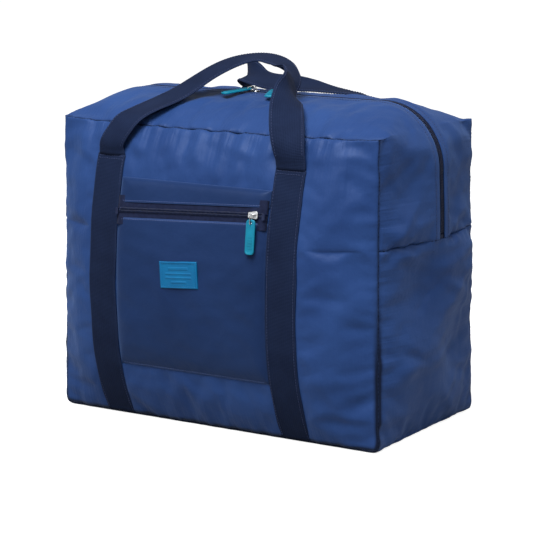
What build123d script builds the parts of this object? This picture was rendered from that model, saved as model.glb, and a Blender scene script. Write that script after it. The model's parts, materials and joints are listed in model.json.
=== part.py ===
"""Foldable tote bag: soft nylon shell, webbing handles, zipped front pocket.

Frame: X is the bag's width, the front faces -Y and +Z is up.  The origin is on
the floor under the middle of the bag.  Everything is in millimetres.
"""
from build123d import *
from math import atan2, cos, degrees, radians, sin
import os

# ---- driving dimensions ------------------------------------------------------
bag_width = 416.0            # between the side seams
bag_depth = 214.0            # between the front and back seams
bag_height = 340.0           # floor to the top seams
ridge_height = 367.0         # the domed top, along the main zip
front_bulge = 36.0           # front and back panels, outwards from their seams
side_bulge = 17.0            # side panels, outwards from their seams
flat_half_width = 128.0      # the bulged front is flat between -this and +this
ridge_half_length = 145.0    # the straight run of the ridge
base_inset = 9.0             # the floor face stands in from the bottom seams
base_seam_height = 6.0
base_roll_in = 2.5           # middle of the roll from the floor up to the bottom seam
base_roll_up = 1.8
shoulder_height = 290.0      # the sides start to round over here
belly_height = 170.0         # the side panels stand out most here
corner_lift = 1.5            # the rounded top corner, above the top seams
corner_inset = 0.5
shoulder_inset = 1.0         # the shoulder, inside the side panel's furthest bulge
side_seam_height = 220.0     # seam between the upper and the lower gusset

fabric = 1.5                 # body cloth with its coating and seam fullness
webbing_width = 38.0
webbing_thickness = 2.0
strap_half_spacing = 117.5   # from the middle of the pair to each strap
strap_pair_x = -10.0         # the pair is sewn a little to the left
strap_top = 302.0            # the sewn part ends here and the handle is free
strap_bottom = 8.0

tape_width = 15.0            # one zip tape, from its coil edge
tape_thickness = 1.0
coil_width = 2.4             # one side's coil
coil_height = 1.6
coil_gap = 0.8               # from the middle to each coil
main_fold = 5.5              # cloth edge beside the main zip, from the middle
pocket_fold = 8.2            # cloth edge beside the pocket zip

pocket_gap = 6.5             # room inside the empty pocket
pocket_cloth = 1.2
pocket_bottom = 67.0
pocket_top = 279.0
pocket_zip_z = 247.6         # zip centre at the middle of the pocket
pocket_zip_tilt = 2.8        # degrees, right end higher
pocket_slider_x = 73.0

label_size = (50.0, 30.0)
label_centre = (-19.5, 179.5)
label_tilt = 4.5
label_thickness = 1.2

sleeve_gap = 9.0             # room behind the trolley sleeve
sleeve_cloth = 1.2
sleeve_bottom = 118.0
sleeve_top = 228.0
sleeve_inset = 4.0           # sleeve edges to the back straps

slider_length = 12.0
slider_half_width = 4.3
plate_thickness = 1.0
plate_clearance = 0.5        # slider plate above the coil
under_clearance = 0.7        # lower plate below the tape
flange_thickness = 0.7
flange_bottom = 0.6          # flanges stop just above the tape
post_from_nose = (3.5, 0.5)
lug_half_length = 4.4
lug_half_width = 1.1
lug_leg = 1.1
bridge_clearance = 2.3       # room under the bridge for the wire loop
bridge_thickness = 1.4
post_half_width = 0.45
wire_radius = 0.5
loop_half_height = 2.0       # wire centre above and below the bridge centre
loop_back = 2.2              # wire loop behind the bridge centre
loop_reach = 9.0             # wire loop ahead of the bridge centre
tab_length = 38.0
tab_width = 12.5
tab_thickness = 2.2
tab_corner = 4.0
tab_eye_margin = 4.0         # eye to the tab's near end
tab_eye_radius = 1.8
tab_eye_slack = 0.2          # eye centre, short of the loop's far end

left_slider_x = -17.0
right_slider_x = 13.0
left_pull_heading = 247.0    # degrees from +X, towards the front
right_pull_heading = 290.0
top_pull_tilt = 5.3
pocket_pull_tilt = 5.0

hinge_gap = 0.8              # between a sewn strap and its free handle
binding_depth = 7.0
binding_thickness = 2.4
binding_inset = 1.0          # seam bindings stand this far inside the seam
binding_zip_room = 18.0      # half the gap left in the side bindings for the zip
zip_tail = 12.0              # tape below the side seam, inside the bag
zip_stop_low = 0.5           # end stops, above the side seam
zip_stop_high = 4.5
pocket_coil_inset = 5.0      # the pocket's coils stop short of its edges
pocket_stop_inset = 1.0
stop_gap = 0.5               # between a coil and its end stop
far = 600.0                  # larger than the bag in every direction
smallest_solid = 0.5         # crumbs below this volume are dropped

# ---- worked-out values -------------------------------------------------------
seam_y = bag_depth / 2
strap_left_x = strap_pair_x - strap_half_spacing
strap_right_x = strap_pair_x + strap_half_spacing
pocket_left = strap_left_x + webbing_width / 2
pocket_right = strap_right_x - webbing_width / 2
pocket_middle = (pocket_left + pocket_right) / 2
panel_mid_z = (base_seam_height + bag_height) / 2

envelopes = {}
parts = {}


def seam_heights(grow):
    """Heights of the bottom and top seams on a form grown by some millimetres."""
    return base_seam_height - grow / 2, bag_height + grow


def face_arc(grow):
    """Centre (distance from the middle plane, height) and radius of the bulged face."""
    low, top = seam_heights(grow)
    seam = seam_y + grow
    face = seam + front_bulge
    centre_z = (low + top) / 2
    half = (top - low) / 2
    off_middle = panel_mid_z - centre_z
    centre_y = (face**2 + off_middle**2 - seam**2 - half**2) / (2 * front_bulge)
    return centre_y, centre_z, ((seam - centre_y) ** 2 + half**2) ** 0.5


def face_y(grow, z):
    """Distance of the bulged face from the middle plane, at a height."""
    centre_y, centre_z, radius = face_arc(grow)
    return centre_y + (radius**2 - (z - centre_z) ** 2) ** 0.5


def face_lean(grow, z):
    """Angle in degrees of the face's outward normal above the horizontal."""
    centre_y, centre_z, radius = face_arc(grow)
    return degrees(atan2(z - centre_z, face_y(grow, z) - centre_y))


def end_profile(grow):
    """Outline seen from the side, as (y, z)."""
    seam = seam_y + grow
    floor = -grow
    low, top = seam_heights(grow)
    front_roll = (seam - base_roll_in, floor + base_roll_up)
    back_roll = (base_roll_in - seam, floor + base_roll_up)
    with BuildSketch(Plane.YZ) as sketch:
        with BuildLine():
            Line((base_inset - seam, floor), (seam - base_inset, floor))
            ThreePointArc((seam - base_inset, floor), front_roll, (seam, low))
            ThreePointArc((seam, low), (seam + front_bulge, panel_mid_z), (seam, top))
            ThreePointArc((seam, top), (0, ridge_height + grow), (-seam, top))
            ThreePointArc((-seam, top), (-seam - front_bulge, panel_mid_z), (-seam, low))
            ThreePointArc((-seam, low), back_roll, (base_inset - seam, floor))
        make_face()
    return sketch.sketch


def plan_profile(grow):
    """Outline seen from above, as (x, y)."""
    side = bag_width / 2 + grow
    seam = seam_y + grow
    face = seam + front_bulge
    with BuildSketch(Plane.XY) as sketch:
        with BuildLine():
            Line((-flat_half_width, -face), (flat_half_width, -face))
            TangentArc((flat_half_width, -face), (side, -seam), tangent=(1, 0))
            ThreePointArc((side, -seam), (side + side_bulge, 0), (side, seam))
            TangentArc((flat_half_width, face), (side, seam), tangent=(1, 0))
            Line((flat_half_width, face), (-flat_half_width, face))
            TangentArc((-flat_half_width, face), (-side, seam), tangent=(-1, 0))
            ThreePointArc((-side, seam), (-side - side_bulge, 0), (-side, -seam))
            TangentArc((-flat_half_width, -face), (-side, -seam), tangent=(-1, 0))
        make_face()
    return sketch.sketch


def front_profile(grow):
    """Outline seen from the front, as (x, z)."""
    side = bag_width / 2 + grow
    floor = -grow
    low = seam_heights(grow)[0]
    roll = (side - base_roll_in, floor + base_roll_up)
    belly = (side + side_bulge, belly_height)
    shoulder = (side + side_bulge - shoulder_inset, shoulder_height)
    corner = (side - corner_inset, bag_height + corner_lift + grow / 2)
    ridge = (ridge_half_length, ridge_height + grow)
    with BuildSketch(Plane.XZ) as sketch:
        with BuildLine() as half:
            Line((0, floor), (side - base_inset, floor))
            ThreePointArc((side - base_inset, floor), roll, (side, low))
            ThreePointArc((side, low), belly, shoulder)
            ThreePointArc(shoulder, corner, ridge)
            Line(ridge, (0, ridge_height + grow))
            mirror(half.line, about=Plane.YZ)
        make_face()
    return sketch.sketch


def envelope(grow):
    """The filled bag's outer form, grown outwards by some millimetres."""
    if grow not in envelopes:
        ends = extrude(end_profile(grow), amount=far, both=True)
        plan = extrude(plan_profile(grow), amount=far, both=True)
        front = extrude(front_profile(grow), amount=far, both=True)
        envelopes[grow] = ends & plan & front
    return envelopes[grow]


def layer(inner, outer):
    """A sheet that follows the bag between two distances from its form."""
    key = (inner, outer)
    if key not in envelopes:
        envelopes[key] = envelope(outer) - envelope(inner)
    return envelopes[key]


def block(x_range, y_range, z_range):
    """A box from its limits along each axis."""
    size = [high - low for low, high in (x_range, y_range, z_range)]
    middle = [(high + low) / 2 for low, high in (x_range, y_range, z_range)]
    return Pos(*middle) * Box(*size)


def keep(name, shape):
    """Store a finished piece under its node's name."""
    solids = [solid for solid in shape.solids() if solid.volume > smallest_solid]
    parts[name] = solids[0] if len(solids) == 1 else Compound(children=solids)


# ---- body cloth --------------------------------------------------------------
everywhere = (-far, far)
front_side = (-far, -seam_y)
back_side = (seam_y, far)


def make_body():
    """The five cloth panels, which meet at the seams."""
    shell = layer(-fabric, 0.0)
    keep("front_panel", shell & block(everywhere, front_side, everywhere))
    keep("back_panel", shell & block(everywhere, back_side, everywhere))
    above = (side_seam_height, far)
    below = (-far, side_seam_height)
    keep("upper_gusset_front", shell & block(everywhere, (-seam_y, -main_fold), above))
    keep("upper_gusset_back", shell & block(everywhere, (main_fold, seam_y), above))
    keep("bottom_gusset", shell & block(everywhere, (-seam_y, seam_y), below))


def make_bindings():
    """Bound seam allowances, which stand into the bag along each seam."""
    fin = layer(-fabric - binding_depth, -fabric)
    edge = seam_y - binding_inset
    for name, side in (("front", -1), ("back", 1)):
        y_limits = sorted((side * edge, side * (edge - binding_thickness)))
        keep(f"{name}_seam_binding", fin & block(everywhere, y_limits, everywhere))
    inner = edge - binding_thickness
    z_limits = (side_seam_height - binding_thickness, side_seam_height)
    zip_room = block(everywhere, (-binding_zip_room, binding_zip_room), z_limits)
    for name, side in (("left", -1), ("right", 1)):
        x_limits = sorted((side * ridge_half_length, side * far))
        strip = fin & block(x_limits, (-inner, inner), z_limits)
        keep(f"{name}_side_seam_binding", strip - zip_room)


# ---- zips --------------------------------------------------------------------
def make_main_zip():
    """Two tapes and two coils over the top and down both sides."""
    tape = layer(-fabric - tape_thickness, -fabric)
    coil = layer(-fabric, coil_height - fabric)
    above_seam = (side_seam_height + zip_stop_high + stop_gap, far)
    with_tail = (side_seam_height - zip_tail, far)
    for name, side in (("front", -1), ("back", 1)):
        y_tape = sorted((side * coil_gap, side * (coil_gap + tape_width)))
        y_coil = sorted((side * coil_gap, side * (coil_gap + coil_width)))
        keep(f"main_zip_tape_{name}", tape & block(everywhere, y_tape, with_tail))
        keep(f"main_zip_coil_{name}", coil & block(everywhere, y_coil, above_seam))
    stop = (side_seam_height + zip_stop_low, side_seam_height + zip_stop_high)
    half = coil_gap + coil_width
    keep("main_zip_end_stops", coil & block(everywhere, (-half, half), stop))


def on_pocket(x_from_middle, z_from_zip):
    """Rotate a block drawn along a level zip to the pocket zip's slope."""
    turn = Pos(pocket_middle, 0, pocket_zip_z) * Rot(0, -pocket_zip_tilt, 0)
    return turn * block(x_from_middle, front_side, z_from_zip)


def make_pocket():
    """Pocket cloth with closed rims, its upper band, and the zip between them."""
    inner = pocket_gap
    outer = pocket_gap + pocket_cloth
    sheet = layer(inner, outer)
    whole = layer(0.0, outer)
    outline = block((pocket_left, pocket_right), front_side, (pocket_bottom, pocket_top))
    core = block(
        (pocket_left + pocket_cloth, pocket_right - pocket_cloth),
        front_side,
        (pocket_bottom + pocket_cloth, pocket_top - pocket_cloth),
    )
    cloth = (sheet & outline) + ((whole & outline) - core)
    keep("pocket_panel", cloth & on_pocket(everywhere, (-far, -pocket_fold)))
    keep("pocket_top_band", cloth & on_pocket(everywhere, (pocket_fold, far)))

    half = (pocket_right - pocket_left) / 2
    tape_end = half - 2 * pocket_cloth
    coil_end = half - pocket_coil_inset
    stop_end = half - pocket_stop_inset
    tape = layer(inner - tape_thickness, inner)
    coil = layer(inner, inner + coil_height)
    half_coil = coil_gap + coil_width
    for name, side in (("upper", 1), ("lower", -1)):
        z_tape = sorted((side * coil_gap, side * (coil_gap + tape_width)))
        z_coil = sorted((side * coil_gap, side * half_coil))
        keep(f"pocket_zip_tape_{name}", tape & on_pocket((-tape_end, tape_end), z_tape))
        keep(f"pocket_zip_coil_{name}", coil & on_pocket((-coil_end, coil_end), z_coil))
    stops = coil & on_pocket((-stop_end, stop_end), (-half_coil, half_coil))
    between = on_pocket((-coil_end - stop_gap, coil_end + stop_gap), everywhere)
    keep("pocket_zip_end_stops", stops - between)


def make_label():
    """A rubber patch sewn on the pocket, with blank embossed bars."""
    base = pocket_gap + pocket_cloth
    place = Pos(label_centre[0], 0, label_centre[1]) * Rot(0, -label_tilt, 0)
    width, height = label_size
    patch = block((-width / 2, width / 2), front_side, (-height / 2, height / 2))
    keep("label_patch", layer(base, base + label_thickness) & (place * patch))


# ---- straps and handles ------------------------------------------------------
def make_straps():
    """The sewn part of the webbing, on the front and the back."""
    sheet = layer(0.0, webbing_thickness)
    half = webbing_width / 2
    for face, y_limits in (("front", front_side), ("back", back_side)):
        for name, x in (("left", strap_left_x), ("right", strap_right_x)):
            strip = block((x - half, x + half), y_limits, (strap_bottom, strap_top))
            keep(f"{face}_strap_{name}", sheet & strip)


def width_direction(stations, share):
    """Direction of the webbing's width, blended between (share, direction) stations."""
    for (start, first), (end, second) in zip(stations, stations[1:]):
        if share <= end:
            weight = (share - start) / (end - start)
            return Vector(*first) * (1 - weight) + Vector(*second) * weight
    return Vector(*stations[-1][1])


def ribbon(points, stations, count=60):
    """Flat webbing along a spline, with its width turned through the stations."""
    route = Spline(*points)
    half_width = webbing_width / 2
    half_thickness = webbing_thickness / 2
    sections = []
    for i in range(count + 1):
        place = route.length * i / count
        here = route.position_at(place, position_mode=PositionMode.LENGTH)
        along = route.tangent_at(place, position_mode=PositionMode.LENGTH).normalized()
        across = width_direction(stations, i / count)
        across = (across - along * across.dot(along)).normalized()
        normal = across.cross(along).normalized()
        corners = []
        for a, n in ((-1, -1), (1, -1), (1, 1), (-1, 1)):
            corners.append(here + across * (a * half_width) + normal * (n * half_thickness))
        sections.append(Wire.make_polygon(corners, close=True))
    return Solid.make_loft(sections, ruled=True)


handle_root_y = face_y(0.0, strap_top) + webbing_thickness / 2 + hinge_gap
handle_root_z = strap_top + 3 * hinge_gap

# The front handle's centre line, which stands up over the top.
front_route = [
    (strap_left_x, -handle_root_y, handle_root_z),
    (-127.2, -125.2, 311.0),
    (-120.5, -122.5, 328.0),
    (-112.0, -114.2, 341.5),
    (-103.0, -99.5, 350.5),
    (-92.5, -80.0, 358.0),
    (-78.0, -60.0, 368.0),
    (-56.0, -37.0, 387.0),
    (-30.0, -18.0, 402.0),
    (-2.0, -8.0, 407.5),
    (23.5, -14.0, 404.6),
    (43.0, -28.0, 398.5),
    (61.0, -48.0, 390.0),
    (76.0, -75.0, 378.0),
    (88.0, -100.0, 363.5),
    (99.5, -118.0, 342.0),
    (106.8, -125.5, 318.0),
    (strap_right_x, -handle_root_y, handle_root_z),
]

# Its width direction at shares of its length.
front_across = [
    (0.0, (1, 0, 0)),
    (0.08, (1, -0.07, -0.01)),
    (0.14, (0.99, -0.14, -0.03)),
    (0.2, (0.96, -0.27, -0.06)),
    (0.3, (0.9, -0.43, -0.09)),
    (0.4, (0.74, -0.66, -0.13)),
    (0.5, (0.44, -0.88, -0.18)),
    (0.6, (0.56, -0.81, -0.17)),
    (0.68, (0.53, -0.83, -0.17)),
    (0.74, (0.37, -0.91, -0.19)),
    (0.8, (0.03, -0.98, -0.2)),
    (0.86, (-0.57, -0.8, -0.16)),
    (0.91, (-0.91, -0.4, -0.08)),
    (0.95, (-0.99, -0.14, -0.03)),
    (1.0, (-1, -0, -0)),
]

# The back handle folds over at the left and lies on the top at the right.
back_route = [
    (strap_left_x, handle_root_y, handle_root_z),
    (-127.2, 125.2, 311.0),
    (-121.0, 130.0, 338.0),
    (-105.0, 119.0, 362.0),
    (-88.0, 99.0, 375.5),
    (-73.0, 84.0, 375.5),
    (-55.0, 75.0, 373.0),
    (-33.0, 70.0, 371.0),
    (-5.4, 68.5, 370.2),
    (24.0, 68.5, 368.0),
    (48.0, 69.5, 365.2),
    (64.0, 72.0, 363.8),
    (80.0, 85.0, 360.0),
    (94.0, 107.0, 348.0),
    (103.5, 122.0, 333.0),
    (107.2, 127.0, 316.0),
    (strap_right_x, handle_root_y, handle_root_z),
]
back_across = [
    (0.0, (1, 0, 0)),
    (0.05, (1, 0, 0)),
    (0.12, (0.3, 0.95, 0)),
    (0.18, (-0.2, 0.93, 0.3)),
    (0.24, (-0.55, 0.8, 0.25)),
    (0.3, (-0.3, 0.9, 0.3)),
    (0.36, (-0.07, 0.94, 0.34)),
    (0.48, (0, 0.94, 0.34)),
    (0.58, (0, 0.97, 0.24)),
    (0.65, (0, 1, 0.08)),
    (0.7, (0, 1, -0.03)),
    (0.75, (-0.2, 0.98, -0.12)),
    (0.82, (-0.75, 0.65, -0.1)),
    (0.9, (-1, 0.1, 0)),
    (1.0, (-1, 0, 0)),
]


def make_handles():
    """The free webbing loops above the sewn straps."""
    keep("front_handle", ribbon(front_route, front_across))
    keep("back_handle", ribbon(back_route, back_across))


# ---- sliders and pulls -------------------------------------------------------
plate_base = coil_height + plate_clearance
plate_top = plate_base + plate_thickness
bridge_base = plate_top + bridge_clearance
bridge_top = bridge_base + bridge_thickness
bridge_z = (bridge_base + bridge_top) / 2


def slider_body():
    """Zip slider: x runs along the zip, z out of the cloth, z = 0 on the tape."""
    half = slider_length / 2
    length = (-half, half)
    width = (-slider_half_width, slider_half_width)
    under = -tape_thickness - under_clearance
    post = [half - distance for distance in post_from_nose]
    body = block(length, width, (plate_base, plate_top))
    body += block(length, width, (under - plate_thickness, under))
    body += block(post, (-post_half_width, post_half_width), (under, plate_base))
    for side in (-1, 1):
        y_limits = sorted((side * slider_half_width, side * (slider_half_width - flange_thickness)))
        body += block(length, y_limits, (flange_bottom, plate_base))
    lug_length = (-lug_half_length, lug_half_length)
    slot_length = (lug_leg - lug_half_length, lug_half_length - lug_leg)
    lug = block(lug_length, (-lug_half_width, lug_half_width), (plate_top, bridge_top))
    lug -= block(slot_length, (-slider_half_width, slider_half_width), (plate_top, bridge_base))
    return body + lug


def wire_loop():
    """Closed wire loop round the slider's bridge, x along the pull."""
    start = -loop_back + loop_half_height
    end = loop_reach - loop_half_height
    with BuildLine(Plane.XZ) as path:
        Line((start, loop_half_height), (end, loop_half_height))
        ThreePointArc((end, loop_half_height), (loop_reach, 0), (end, -loop_half_height))
        Line((end, -loop_half_height), (start, -loop_half_height))
        ThreePointArc((start, -loop_half_height), (-loop_back, 0), (start, loop_half_height))
    section = Plane(origin=(start, 0, loop_half_height), z_dir=(1, 0, 0)) * Circle(wire_radius)
    return sweep(section, path=path.line)


def pull_tab():
    """Rubber tab with rounded ends and an eye for the wire loop."""
    near = loop_reach - tab_eye_margin
    middle = near + tab_length / 2
    body = Pos(middle, 0, 0) * Box(tab_length, tab_width, tab_thickness)
    body = fillet(body.edges().filter_by(Axis.Z), tab_corner)
    eye = Pos(loop_reach - tab_eye_slack, 0, 0) * Cylinder(tab_eye_radius, tab_thickness * 2)
    return body - eye


def make_slider(name, place, heading, tilt):
    """Slider body, wire loop and tab; heading turns the pull about the zip's normal."""
    keep(f"{name}_slider_body", place * slider_body())
    pull_place = place * Pos(0, 0, bridge_z) * Rot(0, 0, heading) * Rot(0, tilt, 0)
    keep(f"{name}_slider_loop", pull_place * wire_loop())
    keep(f"{name}_pull_tab", pull_place * pull_tab())


def make_sliders():
    """Two sliders on the main zip and one on the pocket."""
    tape_top = ridge_height - fabric
    left_place = Pos(left_slider_x, 0, tape_top)
    right_place = Pos(right_slider_x, 0, tape_top)
    make_slider("left", left_place, left_pull_heading, top_pull_tilt)
    make_slider("right", right_place, right_pull_heading, top_pull_tilt)

    z = pocket_zip_z + (pocket_slider_x - pocket_middle) * sin(radians(pocket_zip_tilt))
    lean = radians(face_lean(pocket_gap, z))
    out = face_y(pocket_gap, z)
    along = Vector(cos(radians(pocket_zip_tilt)), 0, sin(radians(pocket_zip_tilt)))
    normal = Vector(0, -cos(lean), sin(lean))
    pocket_plane = Plane(origin=(pocket_slider_x, -out, z), x_dir=along, z_dir=normal)
    make_slider("pocket", pocket_plane.location, -90 - pocket_zip_tilt, pocket_pull_tilt)


# ---- back --------------------------------------------------------------------
def make_trolley_sleeve():
    """Cloth band on the back, open above and below for a suitcase handle."""
    outer = sleeve_gap + sleeve_cloth
    x_limits = (pocket_left + sleeve_inset, pocket_right - sleeve_inset)
    z_limits = (sleeve_bottom, sleeve_top)
    sheet = layer(sleeve_gap, outer) & block(x_limits, back_side, z_limits)
    edges = layer(0.0, outer) & block(x_limits, back_side, z_limits)
    room = block((x_limits[0] + sleeve_cloth, x_limits[1] - sleeve_cloth), back_side, everywhere)
    keep("trolley_sleeve", sheet + (edges - room))


make_body()
make_bindings()
make_main_zip()
make_pocket()
make_label()
make_straps()
make_handles()
make_sliders()
make_trolley_sleeve()

os.makedirs("parts", exist_ok=True)
for name, shape in parts.items():
    export_step(shape, f"parts/{name}.step")
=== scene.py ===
"""Foldable tote bag: the looks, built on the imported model's frame.

Shapes are worked out in millimetres and put into Blender in metres.
X is the bag's width, the front faces -Y, and Z is up from the floor.
"""
import json
from math import atan2, cos, exp, pi, radians, sin, sqrt

import bmesh
import bpy
import numpy as np
from mathutils import Matrix, Vector

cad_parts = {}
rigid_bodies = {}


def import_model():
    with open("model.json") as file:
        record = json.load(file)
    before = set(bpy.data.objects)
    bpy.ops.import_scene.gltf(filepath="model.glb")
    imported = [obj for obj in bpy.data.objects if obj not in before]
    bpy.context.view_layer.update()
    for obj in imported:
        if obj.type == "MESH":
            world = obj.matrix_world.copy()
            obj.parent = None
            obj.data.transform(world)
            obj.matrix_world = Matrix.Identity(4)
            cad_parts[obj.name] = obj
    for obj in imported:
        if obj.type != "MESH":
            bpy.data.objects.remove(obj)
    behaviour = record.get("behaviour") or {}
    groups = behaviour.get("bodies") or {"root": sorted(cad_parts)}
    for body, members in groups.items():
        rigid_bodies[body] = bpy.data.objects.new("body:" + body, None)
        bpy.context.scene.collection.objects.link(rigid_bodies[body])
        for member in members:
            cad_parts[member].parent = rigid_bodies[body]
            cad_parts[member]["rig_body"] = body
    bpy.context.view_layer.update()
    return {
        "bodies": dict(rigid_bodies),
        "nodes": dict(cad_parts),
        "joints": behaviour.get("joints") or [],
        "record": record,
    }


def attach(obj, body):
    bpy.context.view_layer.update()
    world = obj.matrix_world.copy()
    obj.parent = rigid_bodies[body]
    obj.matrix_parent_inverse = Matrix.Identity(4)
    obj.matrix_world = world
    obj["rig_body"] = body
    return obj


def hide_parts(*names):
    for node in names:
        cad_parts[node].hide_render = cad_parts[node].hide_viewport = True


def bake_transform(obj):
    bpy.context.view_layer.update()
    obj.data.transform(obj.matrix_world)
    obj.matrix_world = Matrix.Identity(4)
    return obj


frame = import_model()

# ---- driving dimensions, in millimetres ----------------------------------------
MM = 0.001
seam_x = 206.5               # side seams, from the middle
seam_y = 107.0               # front and back seams
seam_low = 6.0
seam_high = 340.0
side_seam = 220.0
ridge_z = 367.0
front_bulge = 36.0
face_middle_z = 173.0
low_swell = 3.5              # the filled bag spreads this far at the floor
base_corner = 9.0            # radius of the lower corners
low_fullness = 2.9           # 2 would repeat the upper half's arc
face_flat = 120.0            # the bulged face keeps its full depth this far out
belly = (225.0, 170.0)
shoulder = (224.0, 290.0)
top_corner = (207.5, 341.5)
ridge_end = 145.0
flat_top_start = 45.0        # right of this the back of the top sags flat
flat_top_fade = 45.0
beside_tape = 20.0           # the cloth is clear of the main zip's tape from here
top_sag = 4.5                # the top seams hang a little between the corners
base_flat_x = 198.0          # the base lies on the floor this far out
base_flat_y = 98.0
base_drop = 4.0              # the filled cloth sinks this far over its bottom seams
base_drop_height = 36.0      # and stops sinking at this height
cloth = 1.2

cell = 5.0                   # mesh of the shell
edge_row = 1.7               # first row of mesh beside a seam
seam_groove = 1.6
side_seam_groove = 2.0
cover_fade = 9.0             # creases fade out this close to a sewn-on piece
corner_fade = 26.0           # and this close to the upper corners
tab_room = 1.6               # how far the cloth gives under the rubber tabs of the main zip
tab_reach = 30.0             # middle of the tabs, in front of the zip
tab_room_width = 20.0
tab_room_end = 160.0
all_over_gather = 0.22       # share of the gathers that shows away from the seams
cloth_thread_lift = 0.1      # middle of a thread, over the cloth it is sewn through
webbing_thread_lift = 0.25
tack_thread_lift = 0.3
topstitch_lift = 0.15
seam_thread_lift = -0.4
binding_depths = (2.4, 4.5, 8.5)
binding_thick = 1.6

strap_pair_x = -10.0
strap_half_spacing = 117.5
strap_left_x = strap_pair_x - strap_half_spacing
strap_right_x = strap_pair_x + strap_half_spacing
strap_bottom = 4.0
strap_top = 302.0
webbing_half = 19.0
webbing_thick = 2.0
webbing_stitch = 2.6         # stitches in from the webbing's edge
bar_tacks = (2.0, 5.0)       # rows of stitches across, down from the straps' tops
handle_root_gap = 0.8
handle_root_rise = 2.4
handle_tuck = 3.0            # the handles' ends reach this far behind the straps' tops
hinge_above = 8.0

zip_fold = 5.5
zip_topstitch = 14.0
tape_sink = 1.5
tooth_pitch = 1.7
tooth_offset = 1.35          # middle of a tooth, from the zip's line

pocket_left = strap_left_x + webbing_half
pocket_right = strap_right_x - webbing_half
pocket_middle = (pocket_left + pocket_right) / 2
pocket_bottom = 67.0
pocket_top = 279.0
pocket_zip_z = 247.6
pocket_zip_tilt = radians(2.8)
pocket_zip_slope = sin(pocket_zip_tilt)
pocket_fold = 8.2
pocket_zip_stitch = 1.8      # stitches in from the folded edges beside the zip
pocket_hem_stitch = 2.6
pocket_proud = 7.3           # outer face of the pocket, from the front panel
pocket_tape_proud = 6.3
pocket_roll = 5.5            # how quickly the pocket rises from its sewn edges
tape_roll = 1.5              # the zip tapes turn down sharply at the straps
tape_inner = 0.8             # the pocket's zip tapes, from the zip's line
tape_outer = 15.8
patch_rows = 46
pocket_slider_x = 73.0
pocket_slider_proud = 6.5

label_size = (50.0, 30.0)
label_centre = (-19.5, 179.5)
label_tilt = radians(4.5)

sleeve_limits = (pocket_left + 4.0, pocket_right - 4.0, 118.0, 228.0)
sleeve_proud = 9.8
sleeve_roll = 6.0
sleeve_hem_stitch = 6.0
sleeve_side_stitch = 2.2

bridge_z = 6.1               # slider's bridge above the zip tape
left_slider_x = -17.0
right_slider_x = 13.0
left_pull_heading = 247.0    # degrees about the slider, from the zip's direction
right_pull_heading = 290.0
pocket_pull_heading = -92.8
top_pull_tilt = 5.3
pocket_pull_tilt = 5.0

floor_glow = 0.86
floor_reach = 30000.0


# ---- small helpers -------------------------------------------------------------
def unit(v):
    """Unit vector, or rows of unit vectors."""
    v = np.asarray(v, float)
    return v / np.maximum(np.linalg.norm(v, axis=-1, keepdims=True), 1e-9)


def make_mesh(name, points, faces, uvs=None, smooth=True):
    """A mesh object from points in millimetres, with a UV in metres for each point."""
    mesh = bpy.data.meshes.new(name)
    mesh.from_pydata([tuple(p) for p in np.asarray(points, float) * MM], [], faces)
    if uvs is not None:
        layer = mesh.uv_layers.new(name="cloth")
        corner_vertex = np.zeros(len(mesh.loops), dtype=np.int64)
        mesh.loops.foreach_get("vertex_index", corner_vertex)
        layer.data.foreach_set("uv", (np.asarray(uvs, float)[corner_vertex] * MM).ravel())
    mesh.polygons.foreach_set("use_smooth", [smooth] * len(mesh.polygons))
    mesh.update()
    obj = bpy.data.objects.new(name, mesh)
    bpy.context.scene.collection.objects.link(obj)
    return obj


def grid_faces(rows, columns, closed=False):
    """Quads of a grid stored row by row; closed joins the last column to the first."""
    faces = []
    for r in range(rows - 1):
        for c in range(columns if closed else columns - 1):
            d = (c + 1) % columns
            faces.append((r * columns + c, r * columns + d, (r + 1) * columns + d, (r + 1) * columns + c))
    return faces


def tube_faces(rings, columns):
    """Quads of a tube of rings, and a cap on each end."""
    caps = [tuple(range(columns))[::-1], tuple(range((rings - 1) * columns, rings * columns))]
    return grid_faces(rings, columns, closed=True) + caps


def repeated(faces, size, count):
    """The faces of one part with some points, for many such parts in a row."""
    return [tuple(n + size * part for n in face) for part in range(count) for face in faces]


def outward(obj):
    """Turns the faces of a closed mesh outwards."""
    bm = bmesh.new()
    bm.from_mesh(obj.data)
    bmesh.ops.recalc_face_normals(bm, faces=bm.faces)
    bm.to_mesh(obj.data)
    bm.free()


def dress(obj, material, body="bag", nodes=()):
    """Material, body and replaced CAD nodes of a finished piece."""
    obj.data.materials.clear()
    obj.data.materials.append(material)
    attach(obj, body)
    if nodes:
        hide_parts(*nodes)
    return obj


def put(thing, **settings):
    """Sets several properties of a thing."""
    for key, value in settings.items():
        setattr(thing, key, value)
    return thing


def add_modifier(obj, kind, **settings):
    """A modifier with its settings."""
    return put(obj.modifiers.new(kind.lower(), kind), **settings)


def fade(distance, reach):
    """1 at a seam, falling off with the distance from it."""
    return exp(-max(0.0, distance) / reach)


def waves(lengths, seed):
    """A smooth irregular wave between about -1 and 1, mixed from some wavelengths."""
    phases = np.random.default_rng(seed).uniform(0, 2 * pi, len(lengths))
    scale = 1.0 / sqrt(len(lengths))

    def wave(s):
        total = 0.0
        for length, phase in zip(lengths, phases):
            total = total + np.sin(2 * pi * s / length + phase)
        return total * scale
    return wave


def circle_through(a, b, c):
    """Centre and radius of the circle through three points of a plane."""
    (ax, ay), (bx, by), (cx, cy) = a, b, c
    d = 2 * (ax * (by - cy) + bx * (cy - ay) + cx * (ay - by))
    a2, b2, c2 = ax**2 + ay**2, bx**2 + by**2, cx**2 + cy**2
    ux = (a2 * (by - cy) + b2 * (cy - ay) + c2 * (ay - by)) / d
    uy = (a2 * (cx - bx) + b2 * (ax - cx) + c2 * (bx - ax)) / d
    return ux, uy, sqrt((ax - ux) ** 2 + (ay - uy) ** 2)


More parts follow.
